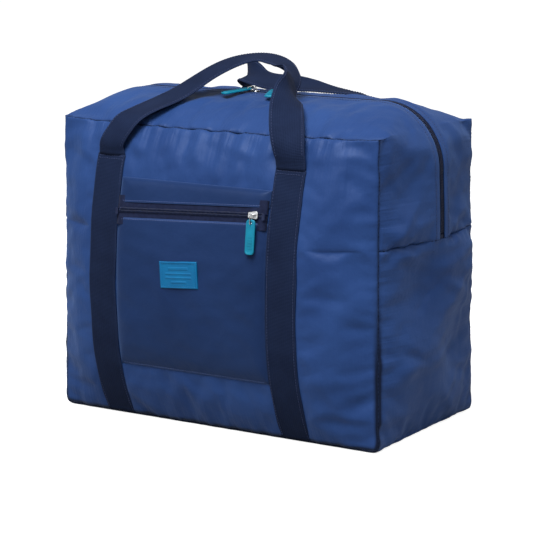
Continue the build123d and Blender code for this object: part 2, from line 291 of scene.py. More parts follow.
# ---- the bag's form --------------------------------------------------------------
face_half = (seam_high - seam_low) / 2
face_radius = (front_bulge**2 + face_half**2) / (2 * front_bulge)


def bulge(z):
    """How far the middle of the front stands out from its seams, at a height.

    The upper half is an arc; the lower half is fuller, as what's packed settles in it.
    """
    off = np.clip(z, seam_low, seam_high) - face_middle_z
    arc = front_bulge - face_radius + np.sqrt(face_radius**2 - off**2)
    full = front_bulge * (1 - (np.abs(off) / face_half) ** low_fullness)
    return np.where(off > 0, arc, full)


def spread(x):
    """1 over the flat of the front, falling to 0 at the side seams."""
    reach = np.clip(np.abs(x) - face_flat, 0, None) / (seam_x - face_flat)
    return 1 - np.clip(reach, 0, 1) ** 2


def swell(z):
    """How far the lower part of the bag has spread at its seams."""
    return low_swell * np.clip((side_seam - z) / side_seam, 0, 1)


def face_point(x, z, lift, side=-1):
    """Point at a distance off the front (side -1) or back (side 1) face."""
    step = 1.0
    y = seam_y + swell(z) + bulge(z) * spread(x)
    slope_z = (bulge(z + step) - bulge(z - step)) * spread(x) / (2 * step)
    slope_x = bulge(z) * (spread(x + step) - spread(x - step)) / (2 * step)
    size = np.sqrt(1 + slope_x**2 + slope_z**2)
    px = x - slope_x / size * lift
    pz = z - slope_z / size * lift
    return np.stack([px, side * (y + lift / size), pz], axis=-1)


def face_normal(x, z, side=-1):
    """Outward normal of the front or back face."""
    return unit(face_point(x, z, 1.0, side) - face_point(x, z, 0.0, side))


side_circle = circle_through((seam_x, seam_low), belly, shoulder)
corner_circle = circle_through(shoulder, top_corner, (ridge_end, ridge_z))


def on_corner(share):
    """Point of the rounded upper corner, from the shoulder (0) to the ridge (1)."""
    ux, uy, radius = corner_circle
    start = atan2(shoulder[1] - uy, shoulder[0] - ux)
    end = atan2(ridge_z - uy, ridge_end - ux)
    angle = start + (end - start) * share
    return ux + radius * cos(angle), uy + radius * sin(angle)


def middle_outline(x, z):
    """The bag's outline in its middle plane that belongs to a point of the seam rectangle."""
    side = 1 if x >= 0 else -1
    if z <= seam_low + 1e-6:
        return x, None
    below_corner = seam_high - shoulder[1]
    beside_corner = seam_x - ridge_end
    if abs(x) > seam_x - 1e-6 and z <= shoulder[1]:
        ux, uy, radius = side_circle
        return side * (ux + sqrt(radius**2 - (z - uy) ** 2)), z
    if abs(x) > seam_x - 1e-6:
        cx, cz = on_corner((z - shoulder[1]) / (below_corner + beside_corner))
        return side * cx, cz
    if abs(x) > ridge_end:
        cx, cz = on_corner((below_corner + seam_x - abs(x)) / (below_corner + beside_corner))
        return side * cx, cz
    return x, ridge_z


def evenly(low, high, step):
    """Values about a step apart, ends included."""
    return np.linspace(low, high, int(round((high - low) / step)) + 1)


side_row = seam_x - edge_row - 0.3
x_lines = np.concatenate([[-seam_x], evenly(-side_row, side_row, cell), [seam_x]])
z_lines = np.concatenate([
    [seam_low],
    evenly(seam_low + edge_row, side_seam - edge_row, cell),
    [side_seam],
    evenly(side_seam + edge_row, seam_high - edge_row, cell),
    [seam_high],
])
half_lines = np.concatenate([
    [0.0, zip_fold, (zip_fold + zip_topstitch) / 2, zip_topstitch],
    evenly(zip_topstitch + 4.5, seam_y - edge_row, cell),
    [seam_y],
])
y_lines = np.concatenate([-half_lines[:0:-1], half_lines])
nx, nz, ny = len(x_lines), len(z_lines), len(y_lines)

gather = waves([13.0, 19.0, 31.0], 3)


def sag_at(x):
    """How far the top seams hang at a place across the bag."""
    return top_sag * (1 - (x / seam_x) ** 4)


def dome_share(x, y, z, on_top):
    """1 at the zip, falling to 0 at the seams; the back of the top lies flatter on the right."""
    arch = 1 - (y / seam_y) ** 2
    if y <= beside_tape or x <= flat_top_start:
        return arch
    flatness = min(1.0, (x - flat_top_start) / flat_top_fade)
    if not on_top:
        flatness *= max(0.0, (z - shoulder[1]) / (seam_high - shoulder[1]))
    flat = (1 - (beside_tape / seam_y) ** 2) * (seam_y - y) / (seam_y - beside_tape)
    return arch + (flat - arch) * flatness


def build_shell():
    """Points, quads, the panel of each quad and the (row, u, v) of each point, as one closed form."""
    points, labels = [], []

    def add(point, row, u, v):
        points.append(point)
        labels.append((row, u, v))
        return len(points) - 1

    index = {}
    for j, side in ((0, -1), (ny - 1, 1)):
        for i, x in enumerate(x_lines):
            for k, z in enumerate(z_lines):
                depth = seam_y + float(bulge(z) * spread(x))
                near_top = max(0.0, (z - pocket_top) / (seam_high - pocket_top)) ** 2
                index[(i, k, j)] = add((x, side * depth, z - sag_at(x) * near_top), j, x, z)
    rim = [(i, 0) for i in range(nx - 1)] + [(nx - 1, k) for k in range(nz - 1)]
    rim += [(i, nz - 1) for i in range(nx - 1, 0, -1)] + [(0, k) for k in range(nz - 1, 0, -1)]
    lengths = [0.0]
    for (i0, k0), (i1, k1) in zip(rim, rim[1:]):
        lengths.append(lengths[-1] + abs(x_lines[i1] - x_lines[i0]) + abs(z_lines[k1] - z_lines[k0]))
    for j in range(1, ny - 1):
        y = y_lines[j]
        for (i, k), length in zip(rim, lengths):
            x, z = x_lines[i], z_lines[k]
            share = dome_share(x, y, z, k == nz - 1)
            px, pz = middle_outline(x, z)
            if pz is None:
                rise_x = max(0.0, (abs(x) - base_flat_x) / 10.0) ** 2
                rise_y = max(0.0, (abs(y) - base_flat_y) / 9.0) ** 2
                point = (x, y, seam_low * min(1.0, max(rise_x, rise_y)))
            else:
                base_z = z - sag_at(x) if k == nz - 1 else z
                point = (x + (px - x) * share, y, base_z + (pz - base_z) * share)
            index[(i, k, j)] = add(point, j, length, y)

    faces, panels = [], []
    for j, name in ((0, "front"), (ny - 1, "back")):
        for i in range(nx - 1):
            for k in range(nz - 1):
                around = ((i, k), (i + 1, k), (i + 1, k + 1), (i, k + 1))
                corners = [index[(*ik, j)] for ik in around]
                faces.append(corners if j == 0 else corners[::-1])
                panels.append(name)
    count = len(rim)
    for p in range(count):
        a, b = rim[p], rim[(p + 1) % count]
        upper = min(z_lines[a[1]], z_lines[b[1]]) >= side_seam - 0.1
        for j in range(ny - 1):
            faces.append([index[(*a, j)], index[(*a, j + 1)], index[(*b, j + 1)], index[(*b, j)]])
            y = (y_lines[j] + y_lines[j + 1]) / 2
            if not upper:
                panels.append("bottom")
            elif abs(y) < zip_fold:
                panels.append("slit")
            else:
                panels.append("top_front" if y < 0 else "top_back")
    return settle_base(np.array(points)), faces, panels, labels, index, rim


def settle_base(points):
    """Sinks the cloth over its bottom seams, rounds the lower corners and spreads the base."""
    low = np.clip((base_drop_height - points[:, 2]) / (base_drop_height - seam_low), 0, 1)
    points[:, 2] = np.maximum(points[:, 2] - base_drop * low**2, 0.0)
    sideways = np.clip(np.abs(points[:, 0]) - (seam_x - base_corner), 0, None)
    downwards = np.clip(base_corner - points[:, 2], 0, None)
    reach = np.hypot(sideways, downwards)
    shrink = np.where(reach > 0, np.maximum(sideways, downwards) / np.maximum(reach, 1e-6), 1.0)
    rounded_off = (sideways > 0) & (downwards > 0)
    points[:, 0] -= np.where(rounded_off, np.sign(points[:, 0]) * sideways * (1 - shrink), 0.0)
    points[:, 2] += np.where(rounded_off, downwards * (1 - shrink), 0.0)
    grow = swell(points[:, 2])
    points[:, 0] += grow * points[:, 0] / seam_x
    points[:, 1] += grow * np.clip(points[:, 1] / seam_y, -1, 1)
    return points


shell_points, shell_faces, shell_panels, shell_labels, shell_index, rim = build_shell()
seam_uvs = {
    shell_index[(*ik, j)]: (shell_labels[shell_index[(*ik, 1)]][1], y_lines[j])
    for ik in rim for j in (0, ny - 1)}


def pinned_points():
    """Seams, zip edges, the floor and everything under a sewn-on piece."""
    pins = set()
    for (i, k, j), n in shell_index.items():
        x, z, y = x_lines[i], z_lines[k], y_lines[j]
        on_rim = i in (0, nx - 1) or k in (0, nz - 1)
        if j in (0, ny - 1):
            under_strap = min(abs(x - strap_left_x), abs(x - strap_right_x)) <= webbing_half - 1
            under_strap = under_strap and z < strap_top + 6
            limits = (pocket_left, pocket_right, pocket_bottom, pocket_top) if j == 0 else sleeve_limits
            covered = limits[0] < x < limits[1] and limits[2] < z < limits[3]
            if on_rim or under_strap or covered:
                pins.add(n)
        elif k == 0 and shell_points[n][2] < 1.0:
            pins.add(n)
        elif abs(y) <= zip_topstitch + 0.1 and z >= side_seam - 0.1:
            pins.add(n)
        elif abs(z - side_seam) < 0.1 and i in (0, nx - 1) and j % 4 == 0:
            pins.add(n)
    return sorted(pins)


def relax_cloth(points, faces, pins):
    """The cloth filled out by a little air inside, held where it is sewn."""
    settle_frames = 22
    limit = 11.0
    obj = make_mesh("cloth_trial", points, faces)
    outward(obj)
    group = obj.vertex_groups.new(name="sewn")
    group.add(pins, 1.0, "REPLACE")
    modifier = obj.modifiers.new("cloth", "CLOTH")
    put(
        modifier.settings, quality=7, mass=0.25, tension_stiffness=22.0, compression_stiffness=8.0,
        shear_stiffness=6.0, bending_stiffness=0.9, air_damping=2.0, vertex_group_mass="sewn",
        use_pressure=True, uniform_pressure_force=1.6, shrink_min=-0.016)
    modifier.settings.effector_weights.gravity = 0.0
    modifier.collision_settings.use_collision = False
    put(modifier.point_cache, frame_start=1, frame_end=settle_frames)
    scene = bpy.context.scene
    for number in range(1, settle_frames + 1):
        scene.frame_set(number)
    graph = bpy.context.evaluated_depsgraph_get()
    settled = obj.evaluated_get(graph)
    out = np.zeros(len(points) * 3)
    settled.data.vertices.foreach_get("co", out)
    scene.frame_set(1)
    mesh = obj.data
    bpy.data.objects.remove(obj)
    bpy.data.meshes.remove(mesh)
    moved = out.reshape(-1, 3) / MM - points
    distance = np.linalg.norm(moved, axis=1, keepdims=True)
    return points + moved * np.minimum(1.0, limit / np.maximum(distance, 1e-6))


def vertex_normals(points, faces):
    """Area-weighted normals of a quad mesh."""
    quads = np.array(faces)
    a, b, c, d = (points[quads[:, n]] for n in range(4))
    face_normals = np.cross(c - a, d - b)
    normals = np.zeros_like(points)
    for n in range(4):
        np.add.at(normals, quads[:, n], face_normals)
    return unit(normals)


# Wide soft dents of the side panels: side, y, z, radius and depth.
side_dents = [
    (1, -66.0, 288.0, 44.0, 11.0),
    (1, 52.0, 262.0, 52.0, 9.0),
    (1, -30.0, 172.0, 54.0, 16.0),
    (1, 72.0, 178.0, 36.0, -5.0),
    (1, 44.0, 96.0, 48.0, 12.0),
    (1, -68.0, 92.0, 38.0, -5.0),
    (1, -34.0, 36.0, 42.0, 6.0),
    (-1, -50.0, 255.0, 44.0, 6.0),
    (-1, 45.0, 160.0, 52.0, 7.0),
    (-1, -30.0, 90.0, 40.0, 5.0),
]


def fold_lines(seed, count, u_range, v_range, angle, turn, depth):
    """Random soft creases: centre, direction, half length, half width and depth of each."""
    rng = np.random.default_rng(seed)
    lines = []
    for _ in range(count):
        u, v = rng.uniform(*u_range), rng.uniform(*v_range)
        direction = radians(rng.normal(angle, turn))
        length, width = rng.uniform(18, 62), rng.uniform(4.2, 8.5)
        lines.append((u, v, direction, length, width, depth * rng.uniform(0.25, 1.0)))
    return lines


def fold_height(lines, u, v):
    """Height of the cloth over its creases; each is a ridge with a valley beside it."""
    total = np.zeros(np.shape(u))
    for u0, v0, direction, length, width, depth in lines:
        along = (u - u0) * cos(direction) + (v - v0) * sin(direction)
        beside = (v - v0) * cos(direction) - (u - u0) * sin(direction)
        reach = np.exp(-(along / length) ** 2)
        ridge = np.exp(-(beside / width) ** 2)
        valley = np.exp(-((beside + 1.5 * width) / (1.2 * width)) ** 2)
        total += depth * reach * (ridge - 0.75 * valley)
    return total


face_folds = fold_lines(61, 120, (-200, 200), (10, 335), 4.0, 28.0, 1.25)
face_folds += fold_lines(62, 45, (-200, 200), (285, 338), 88.0, 14.0, 1.1)
top_folds = fold_lines(63, 110, (-210, 210), (-105, 105), 80.0, 30.0, 1.1)
side_folds = fold_lines(64, 70, (-105, 105), (5, 345), -12.0, 34.0, 1.7)
side_folds += fold_lines(65, 26, (-105, 105), (195, 245), -6.0, 16.0, 1.6)


def uncovered(x, z, side):
    """0 under the straps and the sewn-on cloth of a face, rising to 1 clear of them."""
    low, high = (pocket_bottom, pocket_top) if side < 0 else sleeve_limits[2:]
    outside = [max(pocket_left - x, x - pocket_right, low - z, z - high)]
    for centre in (strap_left_x, strap_right_x):
        outside.append(max(abs(x - centre) - webbing_half, -z, z - strap_top))
    return min(1.0, max(0.0, min(outside) / cover_fade))


pucker = waves([9.5, 13.0, 21.0], 11)
side_pucker = waves([17.0, 29.0, 41.0], 12)


def face_relief(x, z, side):
    """How far the cloth of the front or back stands off its settled shape."""
    from_top, from_side, from_low = seam_high - z, seam_x - abs(x), z - seam_low
    relief = (0.9 * fade(from_top, 8.0) + 0.5 * fade(from_low, 8.0)) * pucker(x)
    relief += 0.5 * fade(from_side, 9.0) * side_pucker(z)
    relief += 1.5 * fade(from_top, 36.0) * gather(x) * (1 if abs(x) < 165 else 0.4)
    relief += 0.8 * fade(from_low, 26.0) * gather(x + 400)
    relief += float(fold_height(face_folds, -side * x, z))
    return relief * uncovered(x, z, side)


def side_relief(y, z, side):
    """The same for the left (side -1) and right (side 1) sides."""
    from_seam = abs(z - side_seam)
    relief = 0.5 * fade(seam_y - abs(y), 9.0) * side_pucker(z)
    relief += 0.9 * fade(from_seam, 8.0) * side_pucker(y + 200)
    relief += float(fold_height(side_folds, y * side, z))
    for at, dent_y, dent_z, radius, depth in side_dents:
        if at == side:
            relief -= depth * exp(-1.6 * ((y - dent_y) ** 2 + (z - dent_z) ** 2) / radius**2)
    return relief - side_seam_groove if from_seam < 0.1 else relief


def top_relief(x, y):
    """The same for the top."""
    distance = seam_y - abs(y)
    relief = 0.9 * fade(distance, 9.0) * pucker(x) + 1.2 * fade(distance, 30.0) * gather(x + 90)
    relief += float(fold_height(top_folds, x, y))
    if abs(x) < tab_room_end:
        relief -= tab_room * exp(-((y + tab_reach) / tab_room_width) ** 2)
    return relief


def crease_seams(points, faces):
    """Puckers along the seams, a groove in them, gathers, creases and wide dents."""
    normals = vertex_normals(points, faces)
    offset = np.zeros(len(points))
    for (i, k, j), n in shell_index.items():
        x, z, y = x_lines[i], z_lines[k], y_lines[j]
        on_side = i in (0, nx - 1)
        on_face = j in (0, ny - 1)
        if on_face:
            relief = face_relief(x, z, -1 if j == 0 else 1)
        elif on_side:
            relief = side_relief(y, z, 1 if i else -1)
        else:
            relief = top_relief(x, y) if k else 0.0
        if not on_face and z >= side_seam - 0.1:
            relief *= min(1.0, max(0.0, (abs(y) - zip_topstitch) / 12.0))
        if not on_face and k == 0 and points[n][2] < 1.0:
            relief = 0.0
        near_corner = (seam_x - abs(x)) ** 2 + (seam_high - z) ** 2 + (seam_y - min(abs(y), seam_y)) ** 2
        offset[n] = relief * (1 - exp(-near_corner / corner_fade**2))
        if on_face and (on_side or k in (0, nz - 1)):
            offset[n] -= seam_groove
    return points + normals * offset[:, None]


settled = shell_points
settled = relax_cloth(shell_points, shell_faces, pinned_points())
settled = crease_seams(settled, shell_faces)
settled[:, 2] = np.maximum(settled[:, 2], 0.0)
settled_normals = vertex_normals(settled, shell_faces)
side_seam_row = int(np.argmin(np.abs(z_lines - side_seam)))


# ---- materials -------------------------------------------------------------------
class Paint:
    """A node material being put together."""

    def __init__(self, name, roughness, **sockets):
        self.material = bpy.data.materials.new(name)
        self.material.use_nodes = True
        self.tree = self.material.node_tree
        self.shader = self.tree.nodes["Principled BSDF"]
        self.shader.inputs["Roughness"].default_value = roughness
        for key, value in sockets.items():
            self.shader.inputs[key.replace("_", " ")].default_value = value

    def node(self, kind, **settings):
        """A node with its settings; an input is named with underscores for its spaces."""
        made = self.tree.nodes.new(kind)
        for key, value in settings.items():
            label = key.replace("_", " ")
            if label in made.inputs and not hasattr(made, key):
                made.inputs[label].default_value = value
            else:
                setattr(made, key, value)
        return made

    def link(self, output, target):
        self.tree.links.new(output, target)

    def feed(self, value, socket):
        """Puts a number, a colour or another node's output into a socket."""
        if isinstance(value, (int, float)):
            socket.default_value = value
        elif isinstance(value, tuple):
            socket.default_value = (*value, 1.0)
        else:
            self.link(value, socket)

    def coordinates(self, kind="UV"):
        return self.node("ShaderNodeTexCoord").outputs[kind]

    def attribute(self, name):
        """A number that each point of the surface carries."""
        made = self.node("ShaderNodeAttribute", attribute_name=name, attribute_type="GEOMETRY")
        return made.outputs["Fac"]

    def noise(self, scale, detail=3.0, roughness=0.55, kind="Object", distortion=0.0):
        made = self.node(
            "ShaderNodeTexNoise", Distortion=distortion, Scale=scale, Detail=detail, Roughness=roughness)
        self.link(self.coordinates(kind), made.inputs["Vector"])
        return made.outputs["Fac"]

    def bands(self, period, direction="X", distortion=0.0):
        """Fine threads, a period in metres apart along one UV direction."""
        made = self.node(
            "ShaderNodeTexWave", wave_type="BANDS", bands_direction=direction,
            Scale=2 * pi / (20 * period), Distortion=distortion, Detail=0.0)
        self.link(self.coordinates("UV"), made.inputs["Vector"])
        return made.outputs["Fac"]

    def math(self, operation, a, b):
        made = self.node("ShaderNodeMath", operation=operation)
        self.feed(a, made.inputs[0])
        self.feed(b, made.inputs[1])
        return made.outputs[0]

    def ramp(self, factor, low, high, start=0.0, end=1.0):
        made = self.node("ShaderNodeValToRGB")
        for element, position, color in zip(made.color_ramp.elements, (start, end), (low, high)):
            put(element, position=position, color=(*color, 1.0))
        self.link(factor, made.inputs["Fac"])
        return made.outputs["Color"]

    def mix(self, factor, a, b):
        made = self.node("ShaderNodeMix", data_type="RGBA")
        for socket, value in ((0, factor), (6, a), (7, b)):
            self.feed(value, made.inputs[socket])
        return made.outputs[2]

    def bump(self, height, strength, distance, below=None):
        made = self.node("ShaderNodeBump", Strength=strength, Distance=distance)
        self.link(height, made.inputs["Height"])
        if below is not None:
            self.link(below, made.inputs["Normal"])
        return made.outputs["Normal"]

    def finish(self, color, normal, roughness=None):
        for socket, output in (("Base Color", color), ("Normal", normal), ("Roughness", roughness)):
            if output is not None:
                self.link(output, self.shader.inputs[socket])
        return self.material


def gathers(paint):
    """Fine folds square to a seam, where the surface's gather attribute says so."""
    mapping = paint.node("ShaderNodeMapping", Scale=(260.0, 10.0, 1.0))
    paint.link(paint.coordinates("UV"), mapping.inputs["Vector"])
    streaks = paint.node("ShaderNodeTexNoise", Scale=1.0, Detail=3.0)
    paint.link(mapping.outputs["Vector"], streaks.inputs["Vector"])
    return paint.math("MULTIPLY", streaks.outputs["Fac"], paint.attribute("gather"))


def cloth_material(name, dark, light, edge):
    """Coated nylon taffeta: a fine plain weave with a satin sheen."""
    paint = Paint(name, 0.5, Sheen_Weight=0.2, Sheen_Roughness=0.5, Specular_IOR_Level=0.24)
    paint.shader.inputs["Sheen Tint"].default_value = (0.25, 0.45, 1.0, 1.0)
    paint.shader.inputs["Specular Tint"].default_value = (0.55, 0.68, 1.0, 1.0)
    patches = paint.noise(9.0, 4.0)
    threads = paint.math("MAXIMUM", paint.bands(0.0008, "X"), paint.bands(0.0008, "Y"))
    color = paint.ramp(patches, dark, light, 0.3, 0.72)
    flecks = paint.noise(1100.0, 2.0, 0.6, "UV")
    color = paint.mix(paint.math("MULTIPLY", flecks, 0.30), color, light)
    # Painted light at seams and sewn edges: the seam colour paints shade on the body cloth and a highlight
    # on the pocket cloth.
    color = paint.mix(paint.math("POWER", paint.attribute("edge"), 1.9), color, edge)
    crumple = paint.noise(26.0, 4.0, 0.5, distortion=0.15)
    creases = paint.noise(120.0, 4.0, 0.6)
    normal = paint.bump(crumple, 0.34, 0.0055)
    normal = paint.bump(creases, 0.2, 0.0014, normal)
    normal = paint.bump(gathers(paint), 0.5, 0.0022, normal)
    normal = paint.bump(threads, 0.14, 0.0002, normal)
    gloss = paint.math("ADD", paint.math("MULTIPLY", patches, 0.16), 0.42)
    return paint.finish(color, normal, gloss)


def webbing_material():
    """Ribbed polypropylene webbing with a herringbone lengthwise."""
    paint = Paint("webbing", 0.75, Sheen_Weight=0.02, Sheen_Roughness=0.5, Specular_IOR_Level=0.06)
    ribs = paint.bands(0.0026, "X", 0.4)
    picks = paint.bands(0.0015, "Y", 0.8)
    height = paint.math("ADD", paint.math("MULTIPLY", ribs, 0.45), paint.math("MULTIPLY", picks, 0.55))
    wear = paint.noise(40.0, 4.0)
    color = paint.ramp(wear, (0.0038, 0.0082, 0.026), (0.0075, 0.015, 0.043), 0.25, 0.8)
    color = paint.mix(paint.math("MULTIPLY", height, 0.22), color, (0.020, 0.032, 0.085))
    color = paint.mix(paint.math("MULTIPLY", paint.attribute("edge"), 0.35), color, (0.020, 0.032, 0.08))
    normal = paint.bump(height, 0.55, 0.0006)
    normal = paint.bump(paint.noise(700.0, 2.0), 0.15, 0.0003, normal)
    return paint.finish(color, normal)


def tape_material():
    """Zip tape: a fine twill."""
    paint = Paint("zip_tape", 0.75, Sheen_Weight=0.05, Specular_IOR_Level=0.12)
    twill = paint.node("ShaderNodeTexWave", wave_type="BANDS", bands_direction="DIAGONAL", Scale=320.0)
    paint.link(paint.coordinates("Object"), twill.inputs["Vector"])
    color = paint.ramp(paint.noise(260.0, 3.0), (0.004, 0.007, 0.026), (0.009, 0.015, 0.048), 0.3, 0.7)
    return paint.finish(color, paint.bump(twill.outputs["Fac"], 0.35, 0.0003))


def plain_material(name, low, high, roughness, spots, grain, depth, **sockets):
    """A moulded or metal finish with slight colour patches and a fine grain."""
    paint = Paint(name, roughness, **sockets)
    color = paint.ramp(paint.noise(spots, 3.0), low, high, 0.3, 0.7)
    fine = paint.noise(grain, 3.0, 0.6)
    rough = paint.math("ADD", paint.math("MULTIPLY", fine, 0.18), roughness - 0.09)
    return paint.finish(color, paint.bump(fine, 0.2, depth), rough)


# Dark, light and seam colours of each cloth. The body cloth's seam colour is painted shade, darkening its
# seam grooves and the sleeve's edges.
navy = cloth_material(
    "body_cloth", (0.0105, 0.0315, 0.119), (0.019, 0.053, 0.178), (0.002, 0.004, 0.016))
# The pocket cloth is the body cloth darkened as painted shade, and its seam colour is a painted highlight
# along the pocket's edges.
shaded_pocket_navy = cloth_material(
    "pocket_cloth", (0.0043, 0.0148, 0.058), (0.0078, 0.024, 0.087), (0.022, 0.045, 0.13))
lining = cloth_material(
    "binding_cloth", (0.005, 0.007, 0.02), (0.01, 0.014, 0.035), (0.01, 0.015, 0.04))
webbing = webbing_material()
zip_cloth = tape_material()
coil_nylon = plain_material(
    "zip_coil", (0.005, 0.009, 0.032), (0.010, 0.018, 0.056), 0.42, 300.0, 900.0, 0.0001,
    Specular_IOR_Level=0.3)
thread_navy = plain_material(
    "thread_navy", (0.012, 0.022, 0.075), (0.022, 0.04, 0.12), 0.6, 400.0, 1500.0, 0.0001)
thread_dark = plain_material(
    "thread_dark", (0.003, 0.005, 0.016), (0.006, 0.009, 0.028), 0.7, 400.0, 1500.0, 0.0001,
    Specular_IOR_Level=0.1)
thread_pale = plain_material(
    "thread_light", (0.045, 0.075, 0.2), (0.07, 0.11, 0.27), 0.6, 400.0, 1500.0, 0.0001)
nickel = plain_material(
    "zip_metal", (0.62, 0.63, 0.65), (0.78, 0.79, 0.8), 0.3, 200.0, 1200.0, 0.00008, Metallic=1.0)
teal = plain_material(
    "pull_rubber", (0.0, 0.16, 0.26), (0.0, 0.21, 0.33), 0.5, 90.0, 1400.0, 0.0001,
    Specular_IOR_Level=0.35)
blue_label = plain_material(
    "label_rubber", (0.0, 0.105, 0.26), (0.0, 0.13, 0.30), 0.45, 60.0, 900.0, 0.00012,
    Specular_IOR_Level=0.3)


# ---- the shell's panels ------------------------------------------------------------
def point_attribute(obj, name, values):
    """Stores a number for each point, which the cloth's material reads."""
    made = obj.data.attributes.new(name, "FLOAT", "POINT")
    made.data.foreach_set("value", np.asarray(values, float).astype(np.float32))


def panel(name, wanted, node):
    """One panel of the shell as its own piece."""
    on_face = wanted in ("front", "back")
    faces = [face for face, kind in zip(shell_faces, shell_panels) if kind == wanted]
    used = sorted({n for face in faces for n in face})
    new = {n: m for m, n in enumerate(used)}
    uvs, near, gathered = [], [], []
    for n in used:
        row, u, v = shell_labels[n]
        uvs.append(seam_uvs[n] if row in (0, ny - 1) and not on_face else (u, v))
        x, y, z = shell_points[n]
        if on_face:
            distance = min(seam_high - z, seam_x - abs(x), z - seam_low)
            gathered.append(fade(seam_high - z, 34.0) + 0.5 * fade(z - seam_low, 22.0))
        else:
            distance = seam_y - abs(y)
            gathered.append(0.7 * fade(distance, 22.0))
        near.append(fade(distance, 1.3))
    obj = make_mesh(name, settled[used], [[new[n] for n in face] for face in faces], uvs)
    # The edge attribute places the body cloth's painted seam shade.
    point_attribute(obj, "edge", near)
    point_attribute(obj, "gather", np.array(gathered) + all_over_gather)
    add_modifier(obj, "SUBSURF", levels=1, render_levels=1)
    add_modifier(obj, "SOLIDIFY", thickness=cloth * MM, offset=-1.0)
    dress(obj, navy, "bag", [node])


panel("cloth_front", "front", "front_panel")
panel("cloth_back", "back", "back_panel")
panel("cloth_top_front", "top_front", "upper_gusset_front")
panel("cloth_top_back", "top_back", "upper_gusset_back")
panel("cloth_bottom", "bottom", "bottom_gusset")


# ---- stitching ---------------------------------------------------------------------
# Reach, size and height of each ring of a stitch.
stitch_rings = ((-0.5, 0.45, -0.12), (-0.25, 1.0, 0.12), (0.25, 1.0, 0.12), (0.5, 0.45, -0.12))
ring_points = 6


def along_path(path):
    """Distance from the start to each point of a path."""
    steps = np.linalg.norm(np.diff(path, axis=0), axis=1)
    return np.concatenate([[0.0], np.cumsum(steps)])


def value_at(distance, along, rows):
    """The rows' value at a distance along their path."""
    return np.array([np.interp(distance, along, rows[:, a]) for a in range(3)])


def stitch_row(path, normals, pitch=3.3, length=2.4, radius=0.32):
    """Points and faces of a row of thread stitches along a path of close points."""
    path, normals = np.asarray(path, float), np.asarray(normals, float)
    along = along_path(path)
    points = []
    centres = np.arange(pitch / 2, along[-1] - pitch / 2, pitch)
    for centre in centres:
        middle = value_at(centre, along, path)
        normal = unit(value_at(centre, along, normals))
        tangent = unit(value_at(centre + 1, along, path) - value_at(centre - 1, along, path))
        across = unit(np.cross(tangent, normal))
        for reach, size, height in stitch_rings:
            hub = middle + tangent * reach * length + normal * height
            for n in range(ring_points):
                angle = 2 * pi * n / ring_points
                points.append(hub + radius * size * (across * cos(angle) + normal * sin(angle)))
    rings = len(stitch_rings)
    return points, repeated(tube_faces(rings, ring_points), rings * ring_points, len(centres))


def join_parts(parts):
    """One list of points and faces from several."""
    points, faces = [], []
    for more, quads in parts:
        faces += [tuple(n + len(points) for n in face) for face in quads]
        points += list(more)
    return points, faces


def stitches(name, rows, material, body="bag", slot="body_cloth", **sizes):
    """One piece with several rows of stitches; each row is (path, normals)."""
    obj = make_mesh(name, *join_parts(stitch_row(path, normals, **sizes) for path, normals in rows))
    return dress(obj, material, body, ())


def on_face(x, z, lift, side=-1):
    """Points and normals of a line drawn on the front or the back."""
    x, z = np.broadcast_arrays(np.asarray(x, float), np.asarray(z, float))
    return face_point(x, z, lift, side), face_normal(x, z, side)


# ---- webbing -------------------------------------------------------------------------
# Half of the webbing's section, as shares of its half width and half thickness.
half_section = [
    (-1.0, 0.0), (-0.975, 0.62), (-0.93, 0.92), (-0.86, 1.0), (-0.62, 0.97), (-0.3, 1.0), (0.0, 0.97)]
upper_section = half_section + [(-a, t) for a, t in reversed(half_section[:-1])]
lower_section = [(a, -t) for a, t in reversed(upper_section[1:-1])]
section = upper_section + lower_section


def webbing_piece(name, frames, material, body, nodes):
    """Webbing through frames of (centre, across, normal, half width, cup, length so far)."""
    points, uvs, near = [], [], []
    for centre, across, normal, half_width, cup, length in frames:
        for a, t in section:
            height = t * webbing_thick / 2 - cup * (a * a - 0.4)
            points.append(centre + across * a * half_width + normal * height)
            uvs.append(((a + 1) * webbing_half, length))
            near.append(max(0.0, (abs(a) - 0.88) / 0.12))
    columns = len(section)
    faces = grid_faces(len(frames), columns, closed=True)
    faces.append(tuple(range(columns)))
    faces.append(tuple(range((len(frames) - 1) * columns, len(frames) * columns))[::-1])
    obj = make_mesh(name, points, faces, uvs)
    outward(obj)
    point_attribute(obj, "edge", near)
    return dress(obj, material, body, nodes)


def sewn_strap(name, x, side, node):
    """The sewn part of a strap, down one face of the bag."""
    wobble = waves([70.0, 110.0], 200 + int(x))
    centres, frames = [], []
    for z in evenly(strap_bottom, strap_top, 3.5):
        middle = x + 0.6 * float(wobble(z))
        centres.append(face_point(middle, z, webbing_thick / 2 + 0.1, side))
        across = unit(face_point(middle + 12.0, z, 0.0, side) - face_point(middle - 12.0, z, 0.0, side))
        normal = face_normal(middle, z, side)
        normal = unit(normal - across * float(np.dot(normal, across)))
        length = along_path(np.array(centres))[-1]
        frames.append((centres[-1], across, normal, webbing_half, 0.25, length))
    webbing_piece(name, frames, webbing, "bag", [node])


for side, face in ((-1, "front"), (1, "back")):
    rows = []
    for end, x in (("left", strap_left_x), ("right", strap_right_x)):
        sewn_strap(f"webbing_{face}_{end}", x, side, f"{face}_strap_{end}")
        reach = webbing_half - webbing_stitch
        heights = evenly(strap_bottom + 3, strap_top - 2, 2.0)
        for edge in (-1, 1):
            rows.append(on_face(x + edge * reach, heights, webbing_thick + webbing_thread_lift, side))
        for down in bar_tacks:
            span = evenly(x - reach, x + reach, 1.0)
            rows.append(on_face(span, strap_top - down, webbing_thick + tack_thread_lift, side))
    stitches(f"strap_stitching_{face}", rows, thread_navy, "bag", "webbing")


